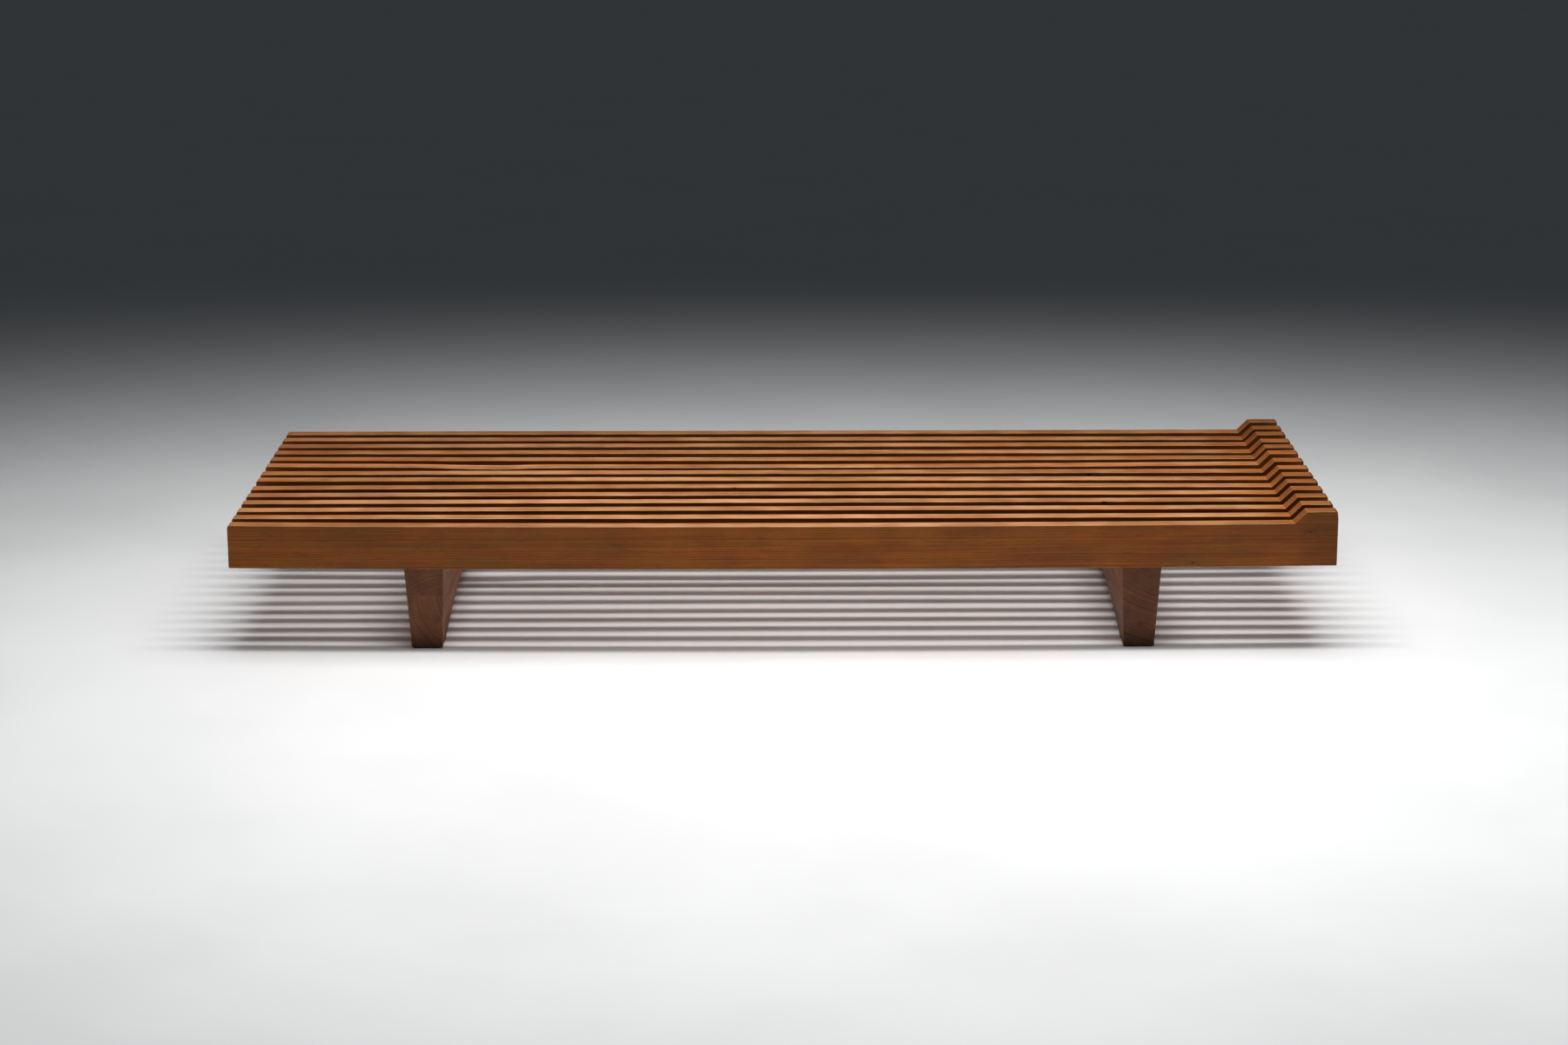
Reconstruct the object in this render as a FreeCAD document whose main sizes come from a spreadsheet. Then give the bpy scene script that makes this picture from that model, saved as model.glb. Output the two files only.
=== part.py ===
"""Slatted daybed: fourteen slats on edge, tenoned across two tapered beams on thin pads.

The frame: +X runs along the slats to their raised head end, -Y is the front, +Z is up.
The origin is on the floor, under the middle of the overall box. All sizes are in millimetres.
"""
import FreeCAD, Part
import os
import Sketcher

# Driving sizes, one cell each
SIZES = {
    # Slats
    "slat_length": 2000,
    "slat_thickness": 30,
    "slat_height": 79,
    "deck_depth": 800,
    # Raised head end of each slat
    "head_rise": 21.5,
    "head_top_length": 57,
    "ramp_run": 22,
    # Easing of the slat edges
    "top_corner_radius": 5,
    "ramp_corner_radius": 3,
    "bottom_corner_radius": 2,
    "arris_chamfer": 1.2,
    # Knot that pushes one slat out of line, measured from the foot end
    "crook_place": 430,
    "crook_reach": 150,
    "crook_bow": 13,
    "crook_swell": 5,
    # Beams
    "beam_height": 147,
    "beam_top_width": 71,
    "beam_foot_width": 55.5,
    "beam_outer_lean": 10.5,
    "beam_setback": 317,
    "upper_board_height": 50,
    "arch_rise": 38,
    "beam_foot_length": 60,
    "beam_end_chamfer": 0.8,
    # Loose tenons, long way along the slats, and their mortises
    "tenon_length": 40,
    "tenon_thickness": 10,
    "tenon_height": 60,
    "glue_gap": 0.2,
    "glue_well": 1.5,
    # Foot pads
    "pad_thickness": 2,
    "pad_inset": 1,
    "pad_corner_cut": 3,
    # Distance that every cut runs past the wood, and how close counts as the same place
    "cut_overrun": 10,
    "same_place": 0.01,
}

# Each slat's stray from its even place, back slat first, as shares of the gap:
# foot end, bow of the middle, head end. Plus is towards the back.
STRAY_SHARES = [
    (0, 0, 0),
    (0.05, 0, -0.14),
    (0.03, 0, 0),
    (0.08, 0, -0.20),
    (0.17, -0.34, 0.10),
    (0.31, -0.62, 0.31),
    (-0.03, 0, 0.03),
    (0.17, 0, -0.10),
    (-0.20, 0.24, -0.10),
    (-0.14, 0, 0.04),
    (-0.07, 0, 0.07),
    (-0.10, 0, 0.08),
    (0.07, -0.22, 0.10),
    (0.24, -0.58, 0.24),
]
SLAT_COUNT = len(STRAY_SHARES)
CROOKED_SLAT = 6

document = FreeCAD.newDocument("slatted_daybed")
sheet = document.addObject("Spreadsheet::Sheet", "sizes")
for row, (alias, size) in enumerate(SIZES.items(), start=1):
    sheet.set(f"A{row}", alias)
    sheet.set(f"B{row}", str(size))
    sheet.setAlias(f"B{row}", alias)
document.recompute()


def cell(alias):
    """Return the expression that reads one named size."""
    return f"<<sizes>>.{alias}"


def number(expression):
    """Return the value that an expression has now."""
    result = sheet.evalExpression(expression)
    return float(getattr(result, "Value", result))


# Derived sizes, as expressions
HALF_LENGTH = f"({cell('slat_length')} / 2)"
PITCH = f"(({cell('deck_depth')} - {cell('slat_thickness')}) / {SLAT_COUNT - 1})"
GAP = f"({PITCH} - {cell('slat_thickness')})"
BOARD_HEIGHT = f"({cell('slat_height')} + {cell('head_rise')})"
BEAM_BOTTOM = cell("pad_thickness")
DECK_BOTTOM = f"({cell('pad_thickness')} + {cell('beam_height')})"
LOWER_BOARD_HEIGHT = f"({cell('beam_height')} - {cell('upper_board_height')})"
BEAM_OUTER_X = f"({HALF_LENGTH} - {cell('beam_setback')})"
BEAM_INNER_X = f"({BEAM_OUTER_X} - {cell('beam_top_width')})"
BEAM_CENTRE_X = f"({BEAM_OUTER_X} - {cell('beam_top_width')} / 2)"
FRONT_STRAY = STRAY_SHARES[-1]
FRONT_BOW = f"({-(FRONT_STRAY[0] + FRONT_STRAY[1])} * {GAP})"
DECK_CENTRE_Y = f"({FRONT_BOW} / 2)"
TENON_SINK = f"({cell('tenon_height')} / 2)"
MORTISE_DEPTH = f"({TENON_SINK} + {cell('glue_well')})"
CROOK_BACK = f"({cell('crook_bow')} - {cell('crook_swell')})"
CROOK_MIDDLE = f"({cell('crook_bow')} - {cell('crook_swell')} / 2)"


def slat_place(index):
    """Return the even place of a slat's middle across the deck, 1 at the back."""
    return f"({(SLAT_COUNT + 1) / 2 - index} * {PITCH} + {DECK_CENTRE_Y})"


def slat_centre(index):
    """Return where the line between a slat's ends crosses the middle of the bench."""
    foot, _, head = STRAY_SHARES[index - 1]
    return f"({slat_place(index)} + {(foot + head) / 2} * {GAP})"


def slat_slope(index):
    """Return the slope of the line between a slat's ends."""
    foot, _, head = STRAY_SHARES[index - 1]
    return f"({head - foot} * {GAP} / {cell('slat_length')})"


def slat_bow(index, x):
    """Return how far a slat stands off the line between its ends at x."""
    bow = STRAY_SHARES[index - 1][1]
    along = f"({x} / {HALF_LENGTH})"
    return f"({bow} * {GAP} * (1 - {along} * {along}))"


def crook(x, depth):
    """Return the push of the knot towards the front at x: two matched half-waves."""
    offset = f"(abs({x} + {HALF_LENGTH} - {cell('crook_place')}) / {cell('crook_reach')})"
    inner = f"(1 - 2 * {offset} * {offset})"
    outer = f"(2 * (1 - {offset}) * (1 - {offset}))"
    return f"(-{depth} * ({offset} < 0.5 ? {inner} : ({offset} < 1 ? {outer} : 0)))"


def slat_offset(index, x):
    """Return how far the middle of a slat's thickness is off the line between its ends."""
    if index == CROOKED_SLAT:
        return f"({slat_bow(index, x)} + {crook(x, CROOK_MIDDLE)})"
    return slat_bow(index, x)


def slat_middle(index, x):
    """Return where the middle of a slat's thickness is across the deck at x."""
    return f"({slat_centre(index)} + {slat_slope(index)} * {x} + {slat_offset(index, x)})"


def new_body(label, y="0", z="0", slope="0"):
    """Add a body whose place and small turn about the upright are bound to the sheet."""
    body = document.addObject("PartDesign::Body", label)
    body.Label = label
    body.AllowCompound = True
    body.Placement.Rotation = FreeCAD.Rotation(FreeCAD.Vector(0, 0, 1), number(f"atan({slope})"))
    body.setExpression("Placement.Base.y", y)
    body.setExpression("Placement.Base.z", z)
    body.setExpression("Placement.Rotation.Angle", f"atan({slope})")
    return body


def new_sketch(body, name, role, lift="0"):
    """Attach a sketch to one of the body's own origin planes, lifted along its normal."""
    sketch = body.newObject("Sketcher::SketchObject", f"{body.Label}_{name}")
    plane = next(part for part in body.Origin.OriginFeatures if part.Role == role)
    sketch.AttachmentSupport = [(plane, "")]
    sketch.MapMode = "FlatFace"
    sketch.setExpression("AttachmentOffset.Base.z", lift)
    return sketch


def fix_point(sketch, geometry, position, x, y):
    """Hold one point of a sketch at a place given by two expressions."""
    for kind, expression in (("DistanceX", x), ("DistanceY", y)):
        constraint = Sketcher.Constraint(kind, geometry, position, number(expression))
        index = sketch.addConstraint(constraint)
        sketch.setExpression(f"Constraints[{index}]", expression)


def vector(point):
    """Return the present place of a point given by two expressions."""
    return FreeCAD.Vector(number(point[0]), number(point[1]), 0)


def draw_outline(sketch, spans):
    """Draw a closed outline. A span of two points is a line, one of three is an arc."""
    ends = []
    for span in spans:
        points = [vector(point) for point in span]
        curve = Part.LineSegment(*points) if len(span) == 2 else Part.Arc(*points)
        geometry = sketch.addGeometry(curve, False)
        forward = sketch.getPoint(geometry, 1).distanceToPoint(points[0]) < \
            sketch.getPoint(geometry, 2).distanceToPoint(points[0])
        start, end = (1, 2) if forward else (2, 1)
        fix_point(sketch, geometry, start, *span[0])
        ends.append((geometry, start, end))
        if len(span) == 3:
            marker = sketch.addGeometry(Part.Point(points[1]), True)
            fix_point(sketch, marker, 1, *span[1])
            sketch.addConstraint(Sketcher.Constraint("PointOnObject", marker, 1, geometry))
    for (before, _, end), (after, start, _) in zip(ends, ends[1:] + ends[:1]):
        sketch.addConstraint(Sketcher.Constraint("Coincident", before, end, after, start))


def draw_polygon(sketch, corners):
    """Draw a closed outline of straight lines."""
    draw_outline(sketch, [list(pair) for pair in zip(corners, corners[1:] + corners[:1])])


def draw_tenons(sketch, centres, gap="0"):
    """Draw one tenon's outline round each centre, with a gap all round it."""
    half_length = f"({cell('tenon_length')} / 2 + {gap})"
    half_thickness = f"({cell('tenon_thickness')} / 2 + {gap})"
    turns = [(-1, -1), (1, -1), (1, 1), (-1, 1)]
    for x, y in centres:
        draw_polygon(sketch, [(f"({x} + {along} * {half_length})",
                               f"({y} + {across} * {half_thickness})")
                              for along, across in turns])


def extrude(body, kind, name, sketch, length, symmetric=False, reverse=False):
    """Pad or pocket a sketch by a bound length."""
    feature = body.newObject(f"PartDesign::{kind}", f"{body.Label}_{name}")
    feature.Profile = sketch
    feature.setExpression("Length", length)
    feature.SideType = "Symmetric" if symmetric else "One side"
    feature.Reversed = reverse
    sketch.Visibility = False
    document.recompute()
    return feature


def near(value, expression):
    """Tell whether a coordinate is at the place that an expression gives."""
    return abs(value - number(expression)) < number(cell("same_place"))


def edges_across(feature, places):
    """Name the edges that run straight across the board at the given x and z places."""
    names = []
    for i, edge in enumerate(feature.Shape.Edges, start=1):
        points = [vertex.Point for vertex in edge.Vertexes]
        if any(all(near(p.x, x) and near(p.z, z) for p in points) for x, z in places):
            names.append(f"Edge{i}")
    return names


def upright_edges(feature):
    """Name the edges that climb from the bottom of a piece to its top."""
    box = feature.Shape.BoundBox
    names = []
    for i, edge in enumerate(feature.Shape.Edges, start=1):
        heights = sorted(vertex.Z for vertex in edge.Vertexes)
        if near(heights[0], str(box.ZMin)) and near(heights[-1], str(box.ZMax)):
            names.append(f"Edge{i}")
    return names


def long_arrises(feature):
    """Name the edges that bound the front and back faces of a slat."""
    names = []
    for i, edge in enumerate(feature.Shape.Edges, start=1):
        start, end = edge.Vertexes[0].Point, edge.Vertexes[-1].Point
        across = abs(start.y - end.y) > number(cell("slat_thickness")) / 2
        between_arcs = near(start.x, str(end.x)) and not near(abs(start.x), HALF_LENGTH)
        if not across and not between_arcs:
            names.append(f"Edge{i}")
    return names


def dress(body, kind, name, base, edges, property_name, size):
    """Fillet or chamfer the named edges by a bound size."""
    feature = body.newObject(f"PartDesign::{kind}", f"{body.Label}_{name}")
    feature.Base = (base, edges)
    feature.setExpression(property_name, size)
    document.recompute()
    return feature


def slat_side(index, face):
    """Return the spans of one long side of a slat in plan, from foot end to head end.

    The face is -1 at the front and 1 at the back.
    """
    half = f"({face} * {cell('slat_thickness')} / 2)"
    depth = cell("crook_bow") if face < 0 else CROOK_BACK

    def point(x):
        y = f"({half} + {slat_bow(index, x)}"
        if index == CROOKED_SLAT:
            y += f" + {crook(x, depth)}"
        return x, y + ")"

    def midway(start, end):
        return f"(({start} + {end}) / 2)"

    foot, head = f"(-{HALF_LENGTH})", HALF_LENGTH
    if index != CROOKED_SLAT:
        if STRAY_SHARES[index - 1][1] == 0:
            return [[point(foot), point(head)]]
        return [[point(foot), point("0"), point(head)]]
    centre = f"({cell('crook_place')} - {HALF_LENGTH})"
    turns = [f"({centre} + {share} * {cell('crook_reach')})" for share in (-1, -0.5, 0.5, 1)]
    stops = [foot, *turns, head]
    return [[point(a), point(midway(a, b)), point(b)] for a, b in zip(stops, stops[1:])]


def build_slat(index):
    """Build one slat: plan outline, side profile, eased edges and two mortises."""
    body = new_body(f"slat_{index:02d}", slat_centre(index), DECK_BOTTOM, slat_slope(index))
    plan = new_sketch(body, "plan", "XY_Plane")
    front, back = slat_side(index, -1), slat_side(index, 1)
    back_reversed = [span[::-1] for span in back[::-1]]
    head_end = [front[-1][-1], back_reversed[0][0]]
    foot_end = [back_reversed[-1][-1], front[0][0]]
    draw_outline(plan, front + [head_end] + back_reversed + [foot_end])
    board = extrude(body, "Pad", "board", plan, BOARD_HEIGHT)

    waste = new_sketch(body, "waste", "XZ_Plane")
    past_foot = f"(-{HALF_LENGTH} - {cell('cut_overrun')})"
    past_top = f"({BOARD_HEIGHT} + {cell('cut_overrun')})"
    ramp_top = f"({HALF_LENGTH} - {cell('head_top_length')})"
    ramp_foot = f"({ramp_top} - {cell('ramp_run')})"
    draw_polygon(waste, [
        (past_foot, cell("slat_height")),
        (ramp_foot, cell("slat_height")),
        (ramp_top, BOARD_HEIGHT),
        (ramp_top, past_top),
        (past_foot, past_top),
    ])
    deck = extrude(body, "Pocket", "deck", waste, f"(2 * {PITCH})", symmetric=True)

    foot_end_x = f"(-{HALF_LENGTH})"
    corner_sets = [
        ("top_corners", cell("top_corner_radius"),
         [(foot_end_x, cell("slat_height")), (HALF_LENGTH, BOARD_HEIGHT)]),
        ("ramp_corners", cell("ramp_corner_radius"),
         [(ramp_foot, cell("slat_height")), (ramp_top, BOARD_HEIGHT)]),
        ("bottom_corners", cell("bottom_corner_radius"),
         [(foot_end_x, "0"), (HALF_LENGTH, "0")]),
    ]
    shaped = deck
    for name, radius, places in corner_sets:
        edges = edges_across(shaped, places)
        shaped = dress(body, "Fillet", name, shaped, edges, "Radius", radius)
    dress(body, "Chamfer", "arrises", shaped, long_arrises(shaped), "Size", cell("arris_chamfer"))

    openings = new_sketch(body, "mortise_outlines", "XY_Plane")
    crossings = [f"(-{BEAM_CENTRE_X})", BEAM_CENTRE_X]
    centres = [(x, slat_offset(index, x)) for x in crossings]
    draw_tenons(openings, centres, cell("glue_gap"))
    extrude(body, "Pocket", "mortises", openings, MORTISE_DEPTH, reverse=True)
    return body


def beam_x(side, z, face):
    """Return where a beam's face is along the bench at a height above the beam's foot.

    The side is -1 for the foot beam and 1 for the head beam. The face is "outer" or "inner".
    """
    up = f"({z} / {cell('beam_height')})"
    if face == "outer":
        x = f"({BEAM_OUTER_X} - {cell('beam_outer_lean')} * (1 - {up}))"
    else:
        foot = f"({BEAM_OUTER_X} - {cell('beam_outer_lean')} - {cell('beam_foot_width')})"
        x = f"({foot} + ({BEAM_INNER_X} - {foot}) * {up})"
    return f"({side} * {x})"


def build_beam_board(label, side, bottom, top, arched, mortised):
    """Build one board of a beam between two heights: taper, arch and mortises."""
    body = new_body(label, y=DECK_CENTRE_Y, z=BEAM_BOTTOM)
    section = new_sketch(body, "section", "XZ_Plane")
    draw_polygon(section, [
        (beam_x(side, bottom, "outer"), bottom),
        (beam_x(side, bottom, "inner"), bottom),
        (beam_x(side, top, "inner"), top),
        (beam_x(side, top, "outer"), top),
    ])
    board = extrude(body, "Pad", "board", section, cell("deck_depth"), symmetric=True)
    dress(body, "Chamfer", "end_arrises", board, upright_edges(board), "Size",
          cell("beam_end_chamfer"))
    if arched:
        spring = f"({cell('deck_depth')} / 2 - {cell('beam_foot_length')})"
        below = f"(-{cell('cut_overrun')})"
        arch = new_sketch(body, "arch", "YZ_Plane")
        draw_outline(arch, [
            [(f"(-{spring})", "0"), ("0", cell("arch_rise")), (spring, "0")],
            [(spring, "0"), (spring, below)],
            [(spring, below), (f"(-{spring})", below)],
            [(f"(-{spring})", below), (f"(-{spring})", "0")],
        ])
        width = f"({cell('slat_length')} + {cell('cut_overrun')})"
        extrude(body, "Pocket", "arch_cut", arch, width, symmetric=True)
    if mortised:
        openings = new_sketch(body, "mortise_outlines", "XY_Plane", lift=cell("beam_height"))
        draw_tenons(openings, crossing_centres(side, DECK_CENTRE_Y), cell("glue_gap"))
        extrude(body, "Pocket", "mortises", openings, MORTISE_DEPTH)
    return body


def crossing_centres(side, origin_y):
    """Return the middle of every slat where it crosses one beam, measured from a given y."""
    x = f"({side} * {BEAM_CENTRE_X})"
    slats = range(1, SLAT_COUNT + 1)
    return [(x, f"({slat_middle(index, x)} - {origin_y})") for index in slats]


def build_tenons(label, side):
    """Build the loose tenons of one beam, half in the slats and half in the beam."""
    body = new_body(label, z=f"({DECK_BOTTOM} - {TENON_SINK})")
    section = new_sketch(body, "section", "XY_Plane")
    draw_tenons(section, crossing_centres(side, "0"))
    extrude(body, "Pad", "tenons", section, cell("tenon_height"))
    return body


def build_pad(label, side, end):
    """Build the thin pad under one foot of a beam. The end is -1 at the front."""
    body = new_body(label, y=DECK_CENTRE_Y)
    section = new_sketch(body, "section", "XY_Plane")
    outer = f"({beam_x(side, '0', 'outer')} - {side} * {cell('pad_inset')})"
    inner = f"({beam_x(side, '0', 'inner')} + {side} * {cell('pad_inset')})"
    far = f"({end} * ({cell('deck_depth')} / 2 - {cell('pad_inset')}))"
    near_arch = f"({far} - {end} * ({cell('beam_foot_length')} - 2 * {cell('pad_inset')}))"
    draw_polygon(section, [(outer, far), (inner, far), (inner, near_arch), (outer, near_arch)])
    pad = extrude(body, "Pad", "felt", section, cell("pad_thickness"))
    dress(body, "Chamfer", "corners", pad, upright_edges(pad), "Size", cell("pad_corner_cut"))
    return body


def build_all():
    """Build every piece and return the bodies."""
    bodies = [build_slat(index) for index in range(1, SLAT_COUNT + 1)]
    bodies.append(build_beam_board(
        "left_beam_upper", -1, LOWER_BOARD_HEIGHT, cell("beam_height"), False, True))
    bodies.append(build_beam_board("left_beam_lower", -1, "0", LOWER_BOARD_HEIGHT, True, False))
    bodies.append(build_beam_board("right_beam", 1, "0", cell("beam_height"), True, True))
    for name, side in (("left", -1), ("right", 1)):
        bodies.append(build_tenons(f"{name}_beam_tenons", side))
        for end_name, end in (("front", -1), ("back", 1)):
            bodies.append(build_pad(f"{name}_{end_name}_pad", side, end))
    return bodies


def check(bodies):
    """Stop if any object failed or any piece is empty or not valid."""
    failed = [item.Label for item in document.Objects
              if "Invalid" in item.State or "Error" in item.State]
    failed += [body.Label for body in bodies
               if body.Shape.isNull() or not body.Shape.isValid()]
    if failed:
        raise RuntimeError("failed: " + ", ".join(sorted(set(failed))))


def report(bodies):
    """Print the solids and the volume of every piece and the overall box."""
    box = FreeCAD.BoundBox()
    for body in bodies:
        box.add(body.Shape.BoundBox)
        solids = len(body.Shape.Solids)
        print(f"{body.Label}: {solids} solids, {body.Shape.Volume:.0f} mm3")
    print(f"overall box {box}")


bodies = build_all()
document.recompute()
check(bodies)
report(bodies)
os.makedirs("parts", exist_ok=True)
for body in bodies:
    body.Shape.exportStep(f"parts/{body.Label}.step")
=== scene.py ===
"""Looks of the slatted daybed: sawn and oiled boards, arched beams, felt pads, light, camera.

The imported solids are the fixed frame. Lengths are in metres, +X runs along the slats to
their raised head end, -Y is the front and +Z is up. Every board is one closed surface that
is worked out as whole arrays: an outline in the plane of its two wide faces, carried across
its thickness, with eased arrises and with the mortises of its joints sunk into its rim.
"""
from __future__ import annotations

import logging
import math
from dataclasses import dataclass, field
from enum import Enum
from typing import Callable, Sequence

import bpy
import numpy as np
from mathutils import Matrix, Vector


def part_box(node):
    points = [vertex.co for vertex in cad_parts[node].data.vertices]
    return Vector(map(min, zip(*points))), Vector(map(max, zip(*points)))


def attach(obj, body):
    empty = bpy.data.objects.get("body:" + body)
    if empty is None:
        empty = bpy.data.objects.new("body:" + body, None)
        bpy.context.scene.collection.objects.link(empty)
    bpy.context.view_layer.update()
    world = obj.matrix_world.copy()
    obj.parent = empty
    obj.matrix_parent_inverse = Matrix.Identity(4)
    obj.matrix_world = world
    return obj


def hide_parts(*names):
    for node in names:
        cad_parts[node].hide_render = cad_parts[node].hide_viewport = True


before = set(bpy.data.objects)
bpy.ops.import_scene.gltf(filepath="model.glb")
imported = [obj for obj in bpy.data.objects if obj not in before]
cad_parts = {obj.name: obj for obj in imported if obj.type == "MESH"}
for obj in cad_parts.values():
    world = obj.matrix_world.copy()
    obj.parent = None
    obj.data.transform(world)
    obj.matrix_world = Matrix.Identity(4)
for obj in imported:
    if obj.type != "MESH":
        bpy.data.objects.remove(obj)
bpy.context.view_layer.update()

LOG = logging.getLogger("daybed")
MM = 0.001
ROOT_BODY = "root"


class Side(Enum):
    """End of the bench that a beam stands at, as the sign of its X place."""

    LEFT = -1
    RIGHT = 1


class Layer(Enum):
    """Which board of a beam a piece is."""

    WHOLE = "whole"
    UPPER = "upper"
    LOWER = "lower"


class Hold(Enum):
    """Side of a board's outline that its mortises are sunk into."""

    LOW = "low"
    HIGH = "high"


def from_screen(red: float, green: float, blue: float) -> tuple[float, float, float, float]:
    """Return the scene-linear colour of a screen colour given as 0 to 255.

    Args:
        red: Red of the screen colour.
        green: Green of the screen colour.
        blue: Blue of the screen colour.

    Returns:
        The linear colour with an alpha of one.
    """
    shown = np.array([red, green, blue]) / 255.0
    linear = np.where(shown <= 0.04045, shown / 12.92, ((shown + 0.055) / 1.055) ** 2.4)
    return (*linear.tolist(), 1.0)


def slow_waves(place: np.ndarray, seed: int, lengths: Sequence[float]) -> np.ndarray:
    """Return a smooth uneven line between -1 and 1.

    Formula: the mean of one sine wave for each length, each with its own seeded phase.

    Args:
        place: Places along the line.
        seed: Picks the phases.
        lengths: Wave lengths.

    Returns:
        The height of the line at each place.
    """
    phases = np.random.default_rng(seed).uniform(0.0, 2.0 * math.pi, len(lengths))
    turns = 2.0 * math.pi * place[..., None] / np.asarray(lengths) + phases
    return np.sin(turns).mean(axis=-1)


def eased(share: np.ndarray) -> np.ndarray:
    """Return a share held between 0 and 1 and eased at both: 3 t^2 - 2 t^3."""
    held = np.clip(share, 0.0, 1.0)
    return held ** 2 * (3.0 - 2.0 * held)


def arc_round(before: np.ndarray, corner: np.ndarray, after: np.ndarray,
              radius: float, steps: int) -> np.ndarray:
    """Return the points of the arc that rounds one corner of a path.

    Formula: the arc starts and ends r tan(t / 2) from the corner for a turn of t. Each of its
    points is the arc's centre plus r times the start's outward direction turned by a share
    of t.

    Args:
        before: Point before the corner.
        corner: The corner.
        after: Point after the corner.
        radius: Radius of the arc.
        steps: Steps in half of the arc.

    Returns:
        Twice steps plus one points, whose middle one is the middle of the arc.
    """
    come = (corner - before) / np.linalg.norm(corner - before)
    leave = (after - corner) / np.linalg.norm(after - corner)
    turn = math.atan2(come[0] * leave[1] - come[1] * leave[0], float(come @ leave))
    hand = math.copysign(1.0, turn)
    start = corner - come * radius * abs(math.tan(turn / 2.0))
    centre = start + hand * radius * np.array([-come[1], come[0]])
    angles = np.linspace(0.0, turn, 2 * steps + 1)
    spoke = start - centre
    turned = np.stack([np.cos(angles) * spoke[0] - np.sin(angles) * spoke[1],
                       np.sin(angles) * spoke[0] + np.cos(angles) * spoke[1]], axis=-1)
    return centre + turned


def stations(start: float, stop: float, step: float, fixed: Sequence[float]) -> np.ndarray:
    """Return evenly spaced places between two ends that hold every fixed place exactly.

    Args:
        start: Lower end, left out of the result.
        stop: Upper end, left out of the result.
        step: Usual spacing.
        fixed: Places that have to be there. An even place close to one of them is dropped.

    Returns:
        The places in rising order.
    """
    even = np.linspace(start, stop, max(3, int(round((stop - start) / step))) + 1)[1:-1]
    kept = np.array([f for f in fixed if start < f < stop])
    if len(kept):
        far = np.abs(even[:, None] - kept[None, :]).min(axis=1) > 0.4 * step
        even = np.concatenate([even[far], kept])
    return np.sort(even)


@dataclass(frozen=True)
class Outline:
    """Edge of a board seen square to its wide faces, as four sides of matched points.

    The low and high sides run along the board and have the same number of points. The near
    and far sides run from the low side up to the high side. Neighbours share a corner point.
    """

    low: np.ndarray
    high: np.ndarray
    near: np.ndarray
    far: np.ndarray

    def loop(self) -> np.ndarray:
        """Return the points once round the board: low side, far side, high side, near side."""
        return np.concatenate([self.low, self.far[1:], self.high[-2::-1], self.near[-2:0:-1]])

    def grid_places(self) -> tuple[np.ndarray, np.ndarray]:
        """Return the column and the row of every loop point in the grid of a wide face."""
        columns, rows = len(self.low), len(self.near)
        along, up = np.arange(columns), np.arange(rows)
        column = np.concatenate([along, np.full(rows - 1, columns - 1), along[-2::-1],
                                 np.zeros(rows - 2, int)])
        row = np.concatenate([np.zeros(columns, int), up[1:], np.full(columns - 1, rows - 1),
                              up[-2:0:-1]])
        return column, row

    def split(self, loop: np.ndarray) -> "Outline":
        """Return the four sides of another loop with the same counts as this outline's."""
        columns, rows = len(self.low), len(self.near)
        far_end = columns + rows - 1
        high_end = far_end + columns - 1
        low, far = loop[:columns], loop[columns - 1:far_end]
        high = loop[far_end - 1:high_end][::-1]
        near = np.concatenate([loop[:1], loop[high_end - 1:][::-1]])
        return Outline(low, high, near, far)

    def fill(self, fade: float) -> np.ndarray:
        """Return a grid of points over the area inside the outline.

        Formula: each column is drawn straight from the low to the high side, and near the
        two ends it takes on the bulge of that end's side, less and less up to the fade.

        Args:
            fade: Distance from an end over which its bulge dies out.

        Returns:
            Points by column and row.
        """
        height = self.near[:, 1]
        share = (height - height[0]) / (height[-1] - height[0])
        grid = self.low[:, None, :] * (1 - share)[None, :, None] \
            + self.high[:, None, :] * share[None, :, None]
        for side, corner in ((self.near, 0), (self.far, -1)):
            straight = side[0] * (1 - share)[:, None] + side[-1] * share[:, None]
            reach = np.abs(self.low[:, 0] - self.low[corner, 0]) / fade
            weight = np.clip(1.0 - reach, 0.0, 1.0)
            grid = grid + weight[:, None, None] * (side - straight)[None, :, :]
        return grid


def loop_normals(loop: np.ndarray) -> tuple[np.ndarray, np.ndarray]:
    """Return the outward direction and the bend at every point of a closed loop.

    Formula: the outward direction is the mean of the directions of the two neighbouring
    edges, turned a quarter to the right. The bend is the turn between them over their mean
    length.

    Args:
        loop: Points that run anticlockwise.

    Returns:
        Unit directions, and the bend at each point, plus where the loop bulges out.
    """
    ahead = np.roll(loop, -1, axis=0) - loop
    length = np.linalg.norm(ahead, axis=1)
    ahead = ahead / length[:, None]
    behind = np.roll(ahead, 1, axis=0)
    mean = ahead + behind
    mean /= np.linalg.norm(mean, axis=1)[:, None]
    turn = behind[:, 0] * ahead[:, 1] - behind[:, 1] * ahead[:, 0]
    bend = turn / (0.5 * (length + np.roll(length, 1)))
    return np.stack([mean[:, 1], -mean[:, 0]], axis=-1), bend


@dataclass(frozen=True)
class Mortise:
    """One sunk hole: its reach along the board, its middle and half width across, its depth."""

    start: float
    stop: float
    middle: float
    half_width: float
    depth: float


@dataclass(frozen=True)
class LogCut:
    """Where a board was sawn from its log, which sets the figure on its faces and ends.

    The pith is the log's middle. Across and up give the board's middle seen from the pith,
    roll turns the board about its length, and along picks the stretch of the log.
    """

    along: float
    across: float
    up: float
    roll_degrees: float = 0.0
    tone: float = 0.0
    blush: float = 0.0


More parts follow.
